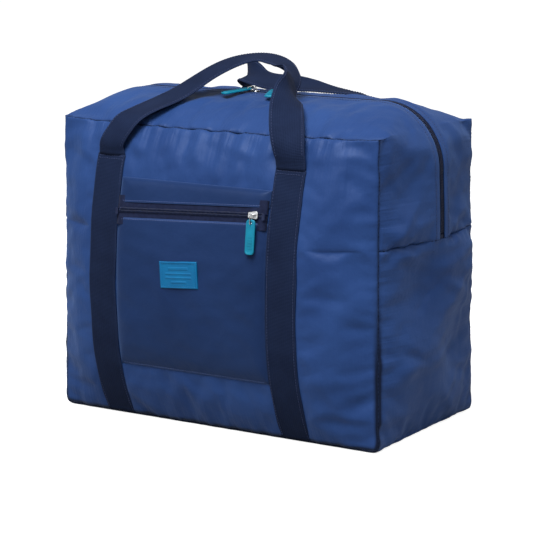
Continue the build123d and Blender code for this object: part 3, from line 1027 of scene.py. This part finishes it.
def smooth_route(points, start, end, count):
    """Evenly spaced points and tangents of the smooth line through some points."""
    knots = np.array(points, float)
    gaps = np.linalg.norm(np.diff(knots, axis=0), axis=1)
    size = len(knots)
    matrix = np.zeros((size, size))
    right = np.zeros((size, 3))
    matrix[0, 0] = matrix[-1, -1] = 1.0
    right[0], right[-1] = start, end
    for i in range(1, size - 1):
        before, after = gaps[i - 1], gaps[i]
        matrix[i, i - 1], matrix[i, i], matrix[i, i + 1] = after, 2 * (before + after), before
        step_in, step_out = knots[i] - knots[i - 1], knots[i + 1] - knots[i]
        right[i] = 3 * (after / before * step_in + before / after * step_out)
    slopes = np.linalg.solve(matrix, right)
    fine = []
    for i in range(size - 1):
        for t in np.linspace(0, 1, 60, endpoint=False):
            fine.append(
                knots[i] * (1 + 2 * t) * (1 - t) ** 2 + knots[i + 1] * t * t * (3 - 2 * t)
                + gaps[i] * (slopes[i] * t * (1 - t) ** 2 - slopes[i + 1] * t * t * (1 - t)))
    fine = np.array(fine + [knots[-1]])
    along = along_path(fine)
    places = np.linspace(0, along[-1], count + 1)
    route = np.stack([np.interp(places, along, fine[:, a]) for a in range(3)], axis=1)
    tangents = unit(np.gradient(route, axis=0))
    return route, tangents, places


handle_root_y = float(seam_y + bulge(strap_top)) + webbing_thick / 2 + handle_root_gap
handle_root_z = strap_top + handle_root_rise

front_route = [
    (strap_left_x, -handle_root_y, handle_root_z), (-127.2, -125.2, 311.0),
    (-120.5, -122.5, 328.0), (-112.0, -114.2, 341.5), (-103.0, -99.5, 350.5),
    (-92.5, -80.0, 358.0), (-78.0, -60.0, 368.0), (-56.0, -37.0, 387.0), (-30.0, -18.0, 402.0),
    (-2.0, -8.0, 407.5), (23.5, -14.0, 404.6), (43.0, -28.0, 398.5), (61.0, -48.0, 390.0),
    (76.0, -75.0, 378.0), (88.0, -100.0, 363.5), (99.5, -118.0, 342.0), (106.8, -125.5, 318.0),
    (strap_right_x, -handle_root_y, handle_root_z),
]
front_across = [
    (0.0, (1, 0, 0)), (0.08, (1, -0.07, -0.01)), (0.14, (0.99, -0.14, -0.03)),
    (0.2, (0.96, -0.27, -0.06)), (0.3, (0.9, -0.43, -0.09)), (0.4, (0.74, -0.66, -0.13)),
    (0.5, (0.44, -0.88, -0.18)), (0.6, (0.56, -0.81, -0.17)), (0.68, (0.53, -0.83, -0.17)),
    (0.74, (0.37, -0.91, -0.19)), (0.8, (0.03, -0.98, -0.2)), (0.86, (-0.57, -0.8, -0.16)),
    (0.91, (-0.91, -0.4, -0.08)), (0.95, (-0.99, -0.14, -0.03)), (1.0, (-1, -0, -0)),
]

back_route = [
    (strap_left_x, handle_root_y, handle_root_z), (-127.2, 125.2, 311.0),
    (-121.0, 130.0, 338.0), (-105.0, 119.0, 362.0), (-88.0, 99.0, 375.5), (-73.0, 84.0, 375.5),
    (-55.0, 75.0, 373.0), (-33.0, 70.0, 371.0), (-5.4, 68.5, 370.2), (24.0, 68.5, 368.0),
    (48.0, 69.5, 365.2), (64.0, 72.0, 363.8), (80.0, 85.0, 360.0), (94.0, 107.0, 348.0),
    (103.5, 122.0, 333.0), (107.2, 127.0, 316.0), (strap_right_x, handle_root_y, handle_root_z),
]
back_across = [
    (0.0, (1, 0, 0)), (0.05, (1, 0, 0)), (0.12, (0.3, 0.95, 0)), (0.18, (-0.2, 0.93, 0.3)),
    (0.24, (-0.55, 0.8, 0.25)), (0.3, (-0.3, 0.9, 0.3)), (0.36, (-0.07, 0.94, 0.34)),
    (0.48, (0, 0.94, 0.34)), (0.58, (0, 0.97, 0.24)), (0.65, (0, 1, 0.08)),
    (0.7, (0, 1, -0.03)), (0.75, (-0.2, 0.98, -0.12)), (0.82, (-0.75, 0.65, -0.1)),
    (0.9, (-1, 0.1, 0)), (1.0, (-1, 0, 0)),
]


def handle_frames(route_points, stations, seed, pinches):
    """Frames along a free webbing loop.

    stations give the direction of its width at shares of its length, and pinches are
    (share, reach, narrowing, cup).
    """
    count = 150
    route, tangents, places = smooth_route(route_points, (0, 0, 1.0), (0, 0, -1.0), count)
    flutter = waves([90.0, 140.0], seed)
    shares = [share for share, direction in stations]
    directions = np.array([direction for share, direction in stations], float)
    frames = []
    for n in range(count + 1):
        share = n / count
        across = np.array([np.interp(share, shares, directions[:, a]) for a in range(3)])
        across = unit(across - tangents[n] * float(np.dot(across, tangents[n])))
        normal = unit(np.cross(across, tangents[n]))
        across = unit(across + normal * 0.05 * float(flutter(places[n])) * sin(pi * share))
        normal = unit(np.cross(across, tangents[n]))
        half_width, cup = webbing_half, 0.3
        for at, reach, narrowing, depth in pinches:
            weight = exp(-((share - at) / reach) ** 2)
            half_width -= webbing_half * narrowing * weight
            cup += depth * weight
        frames.append((route[n], across, normal, half_width, cup, places[n]))
    return frames


front_pinches = [(0.04, 0.05, 0.16, 2.4), (0.6, 0.08, 0.04, 1.6), (0.97, 0.05, 0.04, 1.0)]
back_pinches = [(0.03, 0.06, 0.05, 0.8), (0.26, 0.06, 0.1, 1.8), (0.97, 0.05, 0.05, 0.8)]
front_frames = handle_frames(front_route, front_across, 40, front_pinches)
back_frames = handle_frames(back_route, back_across, 42, back_pinches)


def hung_handle(name, frames, body, node):
    """The handle's webbing, with its ends reaching down behind the straps' tops."""
    drop = np.array((0.0, 0.0, -handle_tuck))
    lower_first, lower_last = ((frame[0] + drop, *frame[1:]) for frame in (frames[0], frames[-1]))
    return webbing_piece(name, [lower_first] + frames + [lower_last], webbing, body, [node])


front_handle = hung_handle("webbing_front_handle", front_frames, "front_handle", "front_handle")
back_handle = hung_handle("webbing_back_handle", back_frames, "back_handle", "back_handle")


def handle_stitches(name, frames, body):
    """Two rows of stitches along a handle, on both of its faces."""
    rows = []
    for edge in (-1, 1):
        for face in (-1, 1):
            path, normals = [], []
            for centre, across, normal, half_width, cup, length in frames:
                a = edge * (half_width - webbing_stitch) / half_width
                height = face * (webbing_thick / 2 + 0.12) - cup * (a * a - 0.4)
                path.append(centre + across * a * half_width + normal * height)
                normals.append(normal * face)
            rows.append((np.array(path[4:-4]), np.array(normals[4:-4])))
    stitches(name, rows, thread_navy, body, "webbing", radius=0.28)


handle_stitches("front_handle_stitching", front_frames, "front_handle")
handle_stitches("back_handle_stitching", back_frames, "back_handle")


# ---- front pocket --------------------------------------------------------------------
pocket_ripple = waves([46.0, 71.0, 103.0], 51)
pocket_ripple_z = waves([58.0, 87.0], 52)
pocket_folds = fold_lines(
    66, 60, (pocket_left, pocket_right), (pocket_bottom, pocket_top), 6.0, 24.0, 0.6)


def zip_line(x):
    """Height of the pocket zip."""
    return pocket_zip_z + (x - pocket_middle) * pocket_zip_slope


def pocket_lift(x, z, full, ends=True):
    """How far the pocket stands off the front, near its sewn edges and away from them."""
    distance = np.minimum(x - pocket_left, pocket_right - x)
    if ends:
        distance = np.minimum(distance, np.minimum((z - pocket_bottom) * 0.4, (pocket_top - z) * 1.6))
    rise = 1 - np.exp(-np.clip(distance, 0, None) / (pocket_roll if ends else tape_roll))
    softness = 0.55 * pocket_ripple(x + 0.35 * z) * pocket_ripple_z(z) + fold_height(pocket_folds, x, z)
    softness = softness * rise
    away_from_zip = np.clip((np.abs(z - zip_line(x)) - pocket_fold) / 30.0, 0, 1)
    return 0.5 + (full - 0.5) * rise + softness * away_from_zip


def draped_grid(name, xs, levels, lift, side, material, nodes):
    """A cloth patch over a grid of x and share of height, held off the face by lift."""
    points, uvs, near = [], [], []
    for x in xs:
        low, high = levels(x)
        for z in low + (high - low) * np.linspace(0, 1, patch_rows):
            points.append(face_point(x, z, float(lift(x, z)), side))
            uvs.append((x, z))
            near.append(exp(-min(x - xs[0], xs[-1] - x, z - low, high - z) / 1.5))
    faces = grid_faces(len(xs), patch_rows)
    if side < 0:
        faces = [face[::-1] for face in faces]
    obj = make_mesh(name, points, faces, uvs)
    # The edge attribute places painted shade along the sleeve's edges and a painted highlight along the
    # pocket's edges.
    point_attribute(obj, "edge", near)
    add_modifier(obj, "SOLIDIFY", thickness=cloth * MM, offset=-1.0)
    dress(obj, material, "bag", nodes)


def sewn_columns(low, high, step):
    """Places across a patch, close together where its sewn edges turn down."""
    turn_down = np.array([0.0, 0.8, 1.8, 3.2, 5.0, 7.5])
    return np.concatenate([low + turn_down, evenly(low + 11, high - 11, step), high - turn_down[::-1]])


pocket_xs = sewn_columns(pocket_left, pocket_right, 3.6)
pocket_pieces = (
    ("pocket_cloth", "pocket_panel", lambda x: (pocket_bottom, zip_line(x) - pocket_fold), 0.178),
    ("pocket_band", "pocket_top_band", lambda x: (zip_line(x) + pocket_fold, pocket_top), 0.026),
)
for name, node, levels, tall in pocket_pieces:
    draped_grid(
        name, pocket_xs, levels, lambda x, z: pocket_lift(x, z, pocket_proud), -1,
        shaded_pocket_navy, [node])
for name, side in (("upper", 1), ("lower", -1)):
    reach = sorted((side * tape_inner, side * tape_outer))
    draped_grid(
        f"pocket_tape_{name}", pocket_xs[1:-1],
        lambda x, reach=reach: (zip_line(x) + reach[0], zip_line(x) + reach[1]),
        lambda x, z: pocket_lift(x, z, pocket_tape_proud, ends=False), -1,
        zip_cloth, [f"pocket_zip_tape_{name}"])

pocket_span = evenly(pocket_left + 4, pocket_right - 4, 2.0)
stitch_heights = [zip_line(pocket_span) + side * (pocket_fold + pocket_zip_stitch) for side in (-1, 1)]
stitch_heights.append(pocket_bottom + pocket_hem_stitch)
rows = [
    on_face(pocket_span, z, pocket_lift(pocket_span, z, pocket_proud) + cloth_thread_lift)
    for z in stitch_heights]
stitches("pocket_stitching", rows, thread_pale)


def coil_teeth(name, centres, alongs, acrosses, normals, nodes):
    """The coil of one side of a zip as separate rounded teeth."""
    points = []
    half_length, half_wide, tall = 0.5, 1.45, 1.5
    levels = ((0.0, 1.0), (0.65, 1.0), (1.0, 0.55))
    for centre, along, across, normal in zip(centres, alongs, acrosses, normals):
        for level, shrink in levels:
            for a, w in ((-1, -1), (1, -1), (1, 1), (-1, 1)):
                sideways = across * w * half_wide * (0.6 + 0.4 * shrink)
                points.append(
                    centre + along * a * half_length * shrink + sideways + normal * (level * tall - 0.1))
    faces = repeated(tube_faces(len(levels), 4), 4 * len(levels), len(centres))
    dress(make_mesh(name, points, faces), coil_nylon, "bag", nodes)


for name, side in (("upper", 1), ("lower", -1)):
    stagger = tooth_pitch / 2 if side > 0 else 0
    xs = np.arange(pocket_left + 5.5 + stagger, pocket_right - 5, tooth_pitch)
    zs = zip_line(xs) + side * tooth_offset
    lifts = pocket_lift(xs, zs, pocket_tape_proud, ends=False)
    centres = face_point(xs, zs, lifts)
    normals = face_normal(xs, zs)
    alongs = np.tile(unit((1.0, 0.0, pocket_zip_slope)), (len(xs), 1))
    acrosses = unit(np.cross(normals, alongs))
    coil_teeth(f"pocket_coil_{name}", centres, alongs, acrosses, normals, [f"pocket_zip_coil_{name}"])


# ---- main zip ------------------------------------------------------------------------
def middle_path():
    """The zip's line in the middle plane, from the right side seam over to the left one."""
    zs = evenly(side_seam + 5.5, shoulder[1], 2.0)
    half = [middle_outline(seam_x, z) for z in zs]
    half += [on_corner(share) for share in np.linspace(0, 1, 60)[1:]]
    half += [(x, ridge_z) for x in np.arange(ridge_end - 2, 0, -2.0)]
    other = [(-x, z) for x, z in reversed(half)]
    return np.array(half + [(0.0, ridge_z)] + other)


zip_path = middle_path()
zip_along = along_path(zip_path)


def on_zip(s, y, lift):
    """Points, directions and normals along the main zip."""
    x = np.interp(s, zip_along, zip_path[:, 0])
    z = np.interp(s, zip_along, zip_path[:, 1])
    dx, dz = (
        np.interp(s + 1, zip_along, zip_path[:, a]) - np.interp(s - 1, zip_along, zip_path[:, a])
        for a in (0, 1))
    along = unit(np.stack([dx, np.zeros_like(dx), dz], axis=1))
    normal = unit(np.stack([dz, np.zeros_like(dx), -dx], axis=1))
    points = np.stack([x, np.full_like(x, y), z], axis=1) + normal * lift
    return points, along, normal


for name, side in (("front", -1), ("back", 1)):
    stagger = tooth_pitch / 2 if side > 0 else 0
    places = np.arange(1.5 + stagger, zip_along[-1] - 1.5, tooth_pitch)
    centres, alongs, normals = on_zip(places, side * tooth_offset, -tape_sink)
    acrosses = np.tile((0.0, 1.0, 0.0), (len(places), 1))
    coil_teeth(f"main_coil_{name}", centres, alongs, acrosses, normals, [f"main_zip_coil_{name}"])


def on_shell(keys, lift):
    """Points off the settled shell, and their normals."""
    order = [shell_index[key] for key in keys]
    return settled[order] + settled_normals[order] * lift, settled_normals[order]


rows = []
for side in (-1, 1):
    j = int(np.argmin(np.abs(y_lines - side * zip_topstitch)))
    upper_rim = [(i, k, j) for i, k in rim if z_lines[k] >= side_seam - 0.1]
    rows.append(on_shell(upper_rim, topstitch_lift))
stitches("zip_topstitching", rows, thread_navy)

# ---- seam threads --------------------------------------------------------------------
rows = []
for j in (0, ny - 1):
    rows.append(on_shell([(i, k, j) for i, k in rim + rim[:1]], seam_thread_lift))
for i in (0, nx - 1):
    rows.append(on_shell([(i, side_seam_row, j) for j in range(ny)], seam_thread_lift))
stitches("seam_threads", rows, thread_dark, pitch=4.5, length=3.0, radius=0.5)


# ---- bound seam allowances, inside the bag ------------------------------------------------
def binding(name, keys, node, closed):
    """A folded tape over the seam allowance, standing into the bag."""
    points = np.concatenate([on_shell(keys, -depth)[0] for depth in binding_depths])
    rings = len(binding_depths)
    uvs = [(n * cell, 3.0 * r) for r in range(rings) for n in range(len(keys))]
    obj = make_mesh(name, points, grid_faces(rings, len(keys), closed), uvs)
    point_attribute(obj, "edge", np.zeros(len(points)))
    add_modifier(obj, "SOLIDIFY", thickness=binding_thick * MM, offset=0.0)
    dress(obj, lining, "bag", [node])


for name, j in (("front", 0), ("back", ny - 1)):
    binding(f"{name}_binding", [(i, k, j) for i, k in rim], f"{name}_seam_binding", True)
for name, i in (("left", 0), ("right", nx - 1)):
    for piece, side in ((f"{name}_side_binding", -1), (f"{name}_side_binding_back", 1)):
        keys = [(i, side_seam_row, j) for j in range(2, ny - 2) if side * y_lines[j] > zip_topstitch]
        binding(piece, keys, f"{name}_side_seam_binding", False)


# ---- label ---------------------------------------------------------------------------
# Middle, width and height of each blank bar on the label.
label_bars = [(0.0, 7.0, 26.0, 3.4), (0.0, 1.5, 34.0, 2.2), (0.0, -3.0, 34.0, 2.2), (0.0, -7.8, 20.0, 2.6)]
label_thick = 1.3
label_columns, label_rows = 105, 63
label_stitch_inset = 2.9


def on_label(u, v):
    """Place on the pocket of a point of the label."""
    x = label_centre[0] + u * cos(label_tilt) - v * sin(label_tilt)
    z = label_centre[1] + u * sin(label_tilt) + v * cos(label_tilt)
    return x, z


def from_box_edge(u, v, middle_u, middle_v, width, height):
    """How far inside a rectangle a point lies."""
    return min(width / 2 - abs(u - middle_u), height / 2 - abs(v - middle_v))


def label_height(u, v):
    """A soft patch with a raised rim and embossed bars."""
    from_edge = from_box_edge(u, v, 0.0, 0.0, *label_size)
    rise = label_thick * min(1.0, sqrt(max(0.0, from_edge) / 0.8))
    rim_height = 0.45 if 0.7 < from_edge < 2.0 else 0.0
    emboss = max(min(1.0, max(0.0, from_box_edge(u, v, *bar) / 0.45)) for bar in label_bars)
    return pocket_proud - 0.1 + rise + rim_height + emboss * 0.45


def label():
    """The label and the stitches round it."""
    points, uvs = [], []
    for u in np.linspace(-0.5, 0.5, label_columns) * label_size[0]:
        for v in np.linspace(-0.5, 0.5, label_rows) * label_size[1]:
            points.append(face_point(*on_label(u, v), label_height(u, v)))
            uvs.append((u, v))
    faces = [face[::-1] for face in grid_faces(label_columns, label_rows)]
    obj = make_mesh("label", points, faces, uvs)
    add_modifier(obj, "SOLIDIFY", thickness=1.0 * MM, offset=-1.0)
    dress(obj, blue_label, "bag", ["label_patch"])
    w, h = label_size[0] / 2 - label_stitch_inset, label_size[1] / 2 - label_stitch_inset
    corners = np.array([(-w, -h), (w, -h), (w, h), (-w, h), (-w, -h)])
    loop = [
        start + (end - start) * t
        for start, end in zip(corners, corners[1:]) for t in np.linspace(0, 1, 24, endpoint=False)]
    u, v = np.array(loop + [corners[0]]).T
    rows = [on_face(*on_label(u, v), pocket_proud + label_thick)]
    stitches("label_stitching", rows, blue_label, "bag", "label_rubber", radius=0.25)


label()


# ---- trolley sleeve --------------------------------------------------------------------
sleeve_left, sleeve_right, sleeve_low, sleeve_high = sleeve_limits


def sleeve_lift(x, z):
    """The sleeve is sewn down both sides and open above and below."""
    rise = 1 - np.exp(-np.clip(np.minimum(x - sleeve_left, sleeve_right - x), 0, None) / sleeve_roll)
    return 0.6 + (sleeve_proud - 0.6) * rise + 0.5 * pocket_ripple(x + z) * rise


draped_grid(
    "sleeve_cloth", sewn_columns(sleeve_left, sleeve_right, 4.0), lambda x: (sleeve_low, sleeve_high),
    sleeve_lift, 1, navy, ["trolley_sleeve"])
sleeve_span = evenly(sleeve_left + 3, sleeve_right - 3, 2.0)
sleeve_heights = evenly(sleeve_low + 2, sleeve_high - 2, 2.0)
rows = []
for z in (sleeve_low + sleeve_hem_stitch, sleeve_high - sleeve_hem_stitch):
    rows.append(on_face(sleeve_span, z, sleeve_lift(sleeve_span, z) + cloth_thread_lift, 1))
for x in (sleeve_left + sleeve_side_stitch, sleeve_right - sleeve_side_stitch):
    rows.append(on_face(x, sleeve_heights, float(sleeve_lift(x, 150.0)) + cloth_thread_lift, 1))
stitches("sleeve_stitching", rows, thread_pale)


# ---- sliders and pulls -----------------------------------------------------------------
def prism(outline, low, high):
    """Points and faces of an outline raised between two heights."""
    count = len(outline)
    points = [(x, y, low) for x, y in outline] + [(x, y, high) for x, y in outline]
    faces = [tuple(range(count))[::-1], tuple(range(count, 2 * count))]
    faces += [(n, (n + 1) % count, count + (n + 1) % count, count + n) for n in range(count)]
    return points, faces


def shifted(part, distance):
    """A part moved along x."""
    points, faces = part
    return [(x + distance, y, z) for x, y, z in points], faces


def rounded(half_x, half_y, corner, steps=6):
    """Outline of a rounded rectangle."""
    outline = []
    for cx, cy, start in ((1, 1, 0), (-1, 1, 90), (-1, -1, 180), (1, -1, 270)):
        for n in range(steps + 1):
            angle = radians(start + 90 * n / steps)
            x = cx * (half_x - corner) + corner * cos(angle)
            outline.append((x, cy * (half_y - corner) + corner * sin(angle)))
    return outline


def slider_parts():
    """A zip slider: two shaped plates, flanges, post and bridge."""
    nose = [(6.0, 2.3), (5.4, 3.6), (3.8, 4.3), (1.0, 4.1), (-2.5, 3.3), (-5.2, 3.0), (-6.0, 2.2)]
    plate = nose + [(x, -y) for x, y in reversed(nose)]
    parts = [prism(plate, 2.1, 3.1), prism(plate, -2.7, -1.7)]
    flange = [(5.4, 3.5), (3.8, 4.3), (1.0, 4.1), (-2.5, 3.3), (-5.0, 3.0)]
    flange += [(-5.0, 2.4), (-2.5, 2.7), (1.0, 3.5), (3.8, 3.7), (5.0, 3.1)]
    parts.append(prism([(x, -y) for x, y in flange], 0.6, 2.2))
    parts.append(prism(flange[::-1], 0.6, 2.2))
    parts.append(shifted(prism(rounded(1.4, 0.45, 0.4), -1.8, 2.2), 3.9))
    steps, half_long, half_wide, foot, tall = 12, 4.0, 1.1, 3.0, 3.5
    points = []
    for n in range(steps + 1):
        angle = pi * n / steps
        x, z = -half_long * cos(angle), tall * sin(angle) ** 0.55
        inner_x, inner_z = x * 0.78, z * 0.72
        points += [(x, -half_wide, foot + z), (x, half_wide, foot + z)]
        points += [(inner_x, half_wide, foot + inner_z), (inner_x, -half_wide, foot + inner_z)]
    faces = grid_faces(steps + 1, 4, closed=True)
    faces += [(0, 1, 2, 3), tuple(range(4 * steps + 3, 4 * steps - 1, -1))]
    parts.append((points, faces))
    return join_parts(parts)


def place(obj, matrix):
    """Puts a piece that was drawn in its own frame into its place."""
    obj.data.transform(matrix)
    obj.data.update()


def slider_frame(origin, along, normal):
    """Matrix of a frame with x along the zip and z out of it, in metres."""
    x, z = Vector(along).normalized(), Vector(normal).normalized()
    y = z.cross(x)
    matrix = Matrix((x, y, z)).transposed().to_4x4()
    matrix.translation = Vector(origin) * MM
    return matrix


def tab_mesh(name):
    """Moulded pull tab with rounded edges, a sunk grip and small ribs."""
    length, width, thick = 38.0, 11.2, 2.2
    near, eye_x, eye_radius = 5.0, 8.8, 1.9
    first_rib, rib_pitch, rib_count = 24.0, 3.0, 5
    bevel = 0.55
    # Height and inset of each outline, from the back's edge to the sunk grip.
    levels = [
        (-thick / 2, bevel), (-thick / 2 + bevel, 0.0), (thick / 2 - bevel, 0.0), (thick / 2, bevel),
        (thick / 2, 1.9), (thick / 2 - 0.35, 2.4)]
    points = []
    for z, inset in levels:
        outline = rounded(length / 2 - inset, width / 2 - inset, max(0.8, 4.0 - inset))
        points += [(near + length / 2 + x, y, z) for x, y in outline]
    faces = tube_faces(len(levels), len(outline))
    body = make_mesh(name, points, faces, smooth=False)
    one_rib = prism(rounded(0.55, 3.0, 0.5, 3), thick / 2 - 0.6, thick / 2 + 0.05)
    ribs = join_parts(shifted(one_rib, first_rib + n * rib_pitch) for n in range(rib_count))
    rib = make_mesh(name + "_ribs", *ribs, smooth=False)
    turns = [2 * pi * n / 24 for n in range(24)]
    ring = [(eye_radius * cos(angle), eye_radius * sin(angle)) for angle in turns]
    hole = make_mesh("eye_cutter", *shifted(prism(ring, -4.0, 4.0), eye_x), smooth=False)
    add_modifier(body, "BOOLEAN", operation="DIFFERENCE", solver="EXACT", object=hole)
    graph = bpy.context.evaluated_depsgraph_get()
    cut_mesh = bpy.data.meshes.new_from_object(body.evaluated_get(graph))
    body.modifiers.clear()
    body.data = cut_mesh
    bpy.data.objects.remove(hole)
    return body, rib


def show_as_is(node, material):
    """A CAD piece keeps its shape and gets its material."""
    shown = frame["nodes"][node].data
    shown.materials.clear()
    shown.materials.append(material)


def slider_set(name, matrix, heading, tilt):
    """Slider, wire loop and tab of one zip end."""
    body = make_mesh(f"{name}_slider_metal", *slider_parts(), smooth=False)
    outward(body)
    add_modifier(body, "BEVEL", width=0.25 * MM, segments=2, limit_method="ANGLE")
    place(body, matrix)
    dress(body, nickel, f"{name}_slider", [f"{name}_slider_body"])
    pull = matrix @ Matrix.Translation((0, 0, bridge_z * MM)) @ Matrix.Rotation(radians(heading), 4, "Z")
    pull = pull @ Matrix.Rotation(radians(tilt), 4, "Y")
    tab, rib = tab_mesh(f"{name}_tab_rubber")
    place(tab, pull)
    place(rib, pull)
    dress(tab, teal, f"{name}_tab", [f"{name}_pull_tab"])
    dress(rib, teal, f"{name}_tab", ())
    show_as_is(f"{name}_slider_loop", nickel)


top_sliders = (
    ("left", left_slider_x, left_pull_heading),
    ("right", right_slider_x, right_pull_heading),
)
for name, x, heading in top_sliders:
    on_top = slider_frame((x, 0, ridge_z - tape_sink), (1, 0, 0), (0, 0, 1))
    slider_set(name, on_top, heading, top_pull_tilt)
slider_place = (pocket_slider_x, float(zip_line(pocket_slider_x)))
slider_normal = face_normal(*slider_place)
slider_across = np.cross(slider_normal, (cos(pocket_zip_tilt), 0.0, sin(pocket_zip_tilt)))
slider_along = np.cross(slider_across, slider_normal)
slider_origin = face_point(*slider_place, pocket_slider_proud)
on_pocket = slider_frame(slider_origin, slider_along, slider_normal)
slider_set("pocket", on_pocket, pocket_pull_heading, pocket_pull_tilt)

for node, material in (
        ("main_zip_tape_front", zip_cloth), ("main_zip_tape_back", zip_cloth),
        ("main_zip_end_stops", coil_nylon), ("pocket_zip_end_stops", coil_nylon)):
    show_as_is(node, material)

# ---- the handles leave their bodies, their placing baked into their meshes ----------------
handles = (
    (front_handle, "front_handle", -handle_root_y),
    (back_handle, "back_handle", handle_root_y),
)
for obj, body, y in handles:
    end = (strap_pair_x * MM, y * MM, (handle_root_z + hinge_above) * MM)
    obj.parent = None
    if "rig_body" in obj:
        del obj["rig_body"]
    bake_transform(obj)


# ---- floor, light and camera ----------------------------------------------------------------
def floor_material():
    """A pale seamless floor: bright where it is looked at, dim as a light on the bag."""
    paint = Paint("floor", 0.9, Specular_IOR_Level=0.05)
    paint.shader.inputs["Emission Color"].default_value = (1.0, 1.0, 1.0, 1.0)
    seen = paint.node("ShaderNodeLightPath").outputs["Is Camera Ray"]
    paint.link(paint.math("MULTIPLY", seen, floor_glow), paint.shader.inputs["Emission Strength"])
    pale = paint.ramp(paint.noise(1.5, 2.0), (0.60, 0.60, 0.60), (0.64, 0.64, 0.64), 0.2, 0.8)
    color = paint.mix(seen, (0.3, 0.3, 0.3), pale)
    return paint.finish(color, paint.bump(paint.noise(60.0, 2.0), 0.02, 0.001))


floor_corners = [(x * floor_reach, y * floor_reach, -0.5) for x, y in ((-1, -1), (1, -1), (1, 1), (-1, 1))]
floor = make_mesh("floor", floor_corners, [(0, 1, 2, 3)])
floor.data.materials.append(floor_material())


def area_light(name, place_m, target_m, size_m, watts):
    """A square softbox that faces a point."""
    data = bpy.data.lights.new(name, "AREA")
    data.energy = watts
    data.size = size_m
    light = bpy.data.objects.new(name, data)
    light.location = place_m
    light.rotation_mode = "QUATERNION"
    light.rotation_quaternion = (Vector(target_m) - Vector(place_m)).to_track_quat("-Z", "Y")
    bpy.context.scene.collection.objects.link(light)


area_light("overhead", (0.22, -1.2, 1.95), (0.0, 0.0, 0.25), 1.2, 72.0)
area_light("right_box", (1.9, 0.5, 1.7), (0.0, 0.0, 0.3), 0.8, 14.0)
area_light("front_box", (-1.2, -2.4, 1.0), (0.0, 0.0, 0.2), 1.0, 4.0)

world = bpy.data.worlds.new("studio")
world.use_nodes = True
world_nodes, world_links = world.node_tree.nodes, world.node_tree.links
soft_fill = world_nodes["Background"]
soft_fill.inputs["Color"].default_value = (1.0, 1.0, 1.0, 1.0)
soft_fill.inputs["Strength"].default_value = 0.26
white_back = world_nodes.new("ShaderNodeBackground")
white_back.inputs["Strength"].default_value = 1.05
seen_directly = world_nodes.new("ShaderNodeLightPath")
choose = world_nodes.new("ShaderNodeMixShader")
world_links.new(seen_directly.outputs["Is Camera Ray"], choose.inputs["Fac"])
world_links.new(soft_fill.outputs[0], choose.inputs[1])
world_links.new(white_back.outputs[0], choose.inputs[2])
world_links.new(choose.outputs[0], world_nodes["World Output"].inputs["Surface"])
bpy.context.scene.world = world
bpy.context.scene.view_settings.view_transform = "Standard"
bpy.context.scene.view_settings.look = "None"

azimuth, elevation, roll = radians(31.97), radians(11.21), radians(0.08)
view_distance = 2.444
aim = Vector((0.0, 0.0, 0.170))
shift_right, shift_up = 0.0090, -0.0134
sensor = 36.0
lens = 139.1563636

back = Vector((sin(azimuth) * cos(elevation), -cos(azimuth) * cos(elevation), sin(elevation)))
right = Vector((cos(azimuth), sin(azimuth), 0.0))
up = back.cross(right)
camera_data = bpy.data.cameras.new("camera")
camera_data.sensor_width = sensor
camera_data.lens = lens
camera_data.clip_start, camera_data.clip_end = 0.05, 100.0
camera = bpy.data.objects.new("camera", camera_data)
rolled_right = right * cos(roll) - up * sin(roll)
rolled_up = right * sin(roll) + up * cos(roll)
turn = Matrix((rolled_right, rolled_up, back)).transposed().to_4x4()
turn.translation = aim + back * view_distance + right * shift_right + up * shift_up
camera.matrix_world = turn
bpy.context.scene.collection.objects.link(camera)
bpy.context.scene.camera = camera
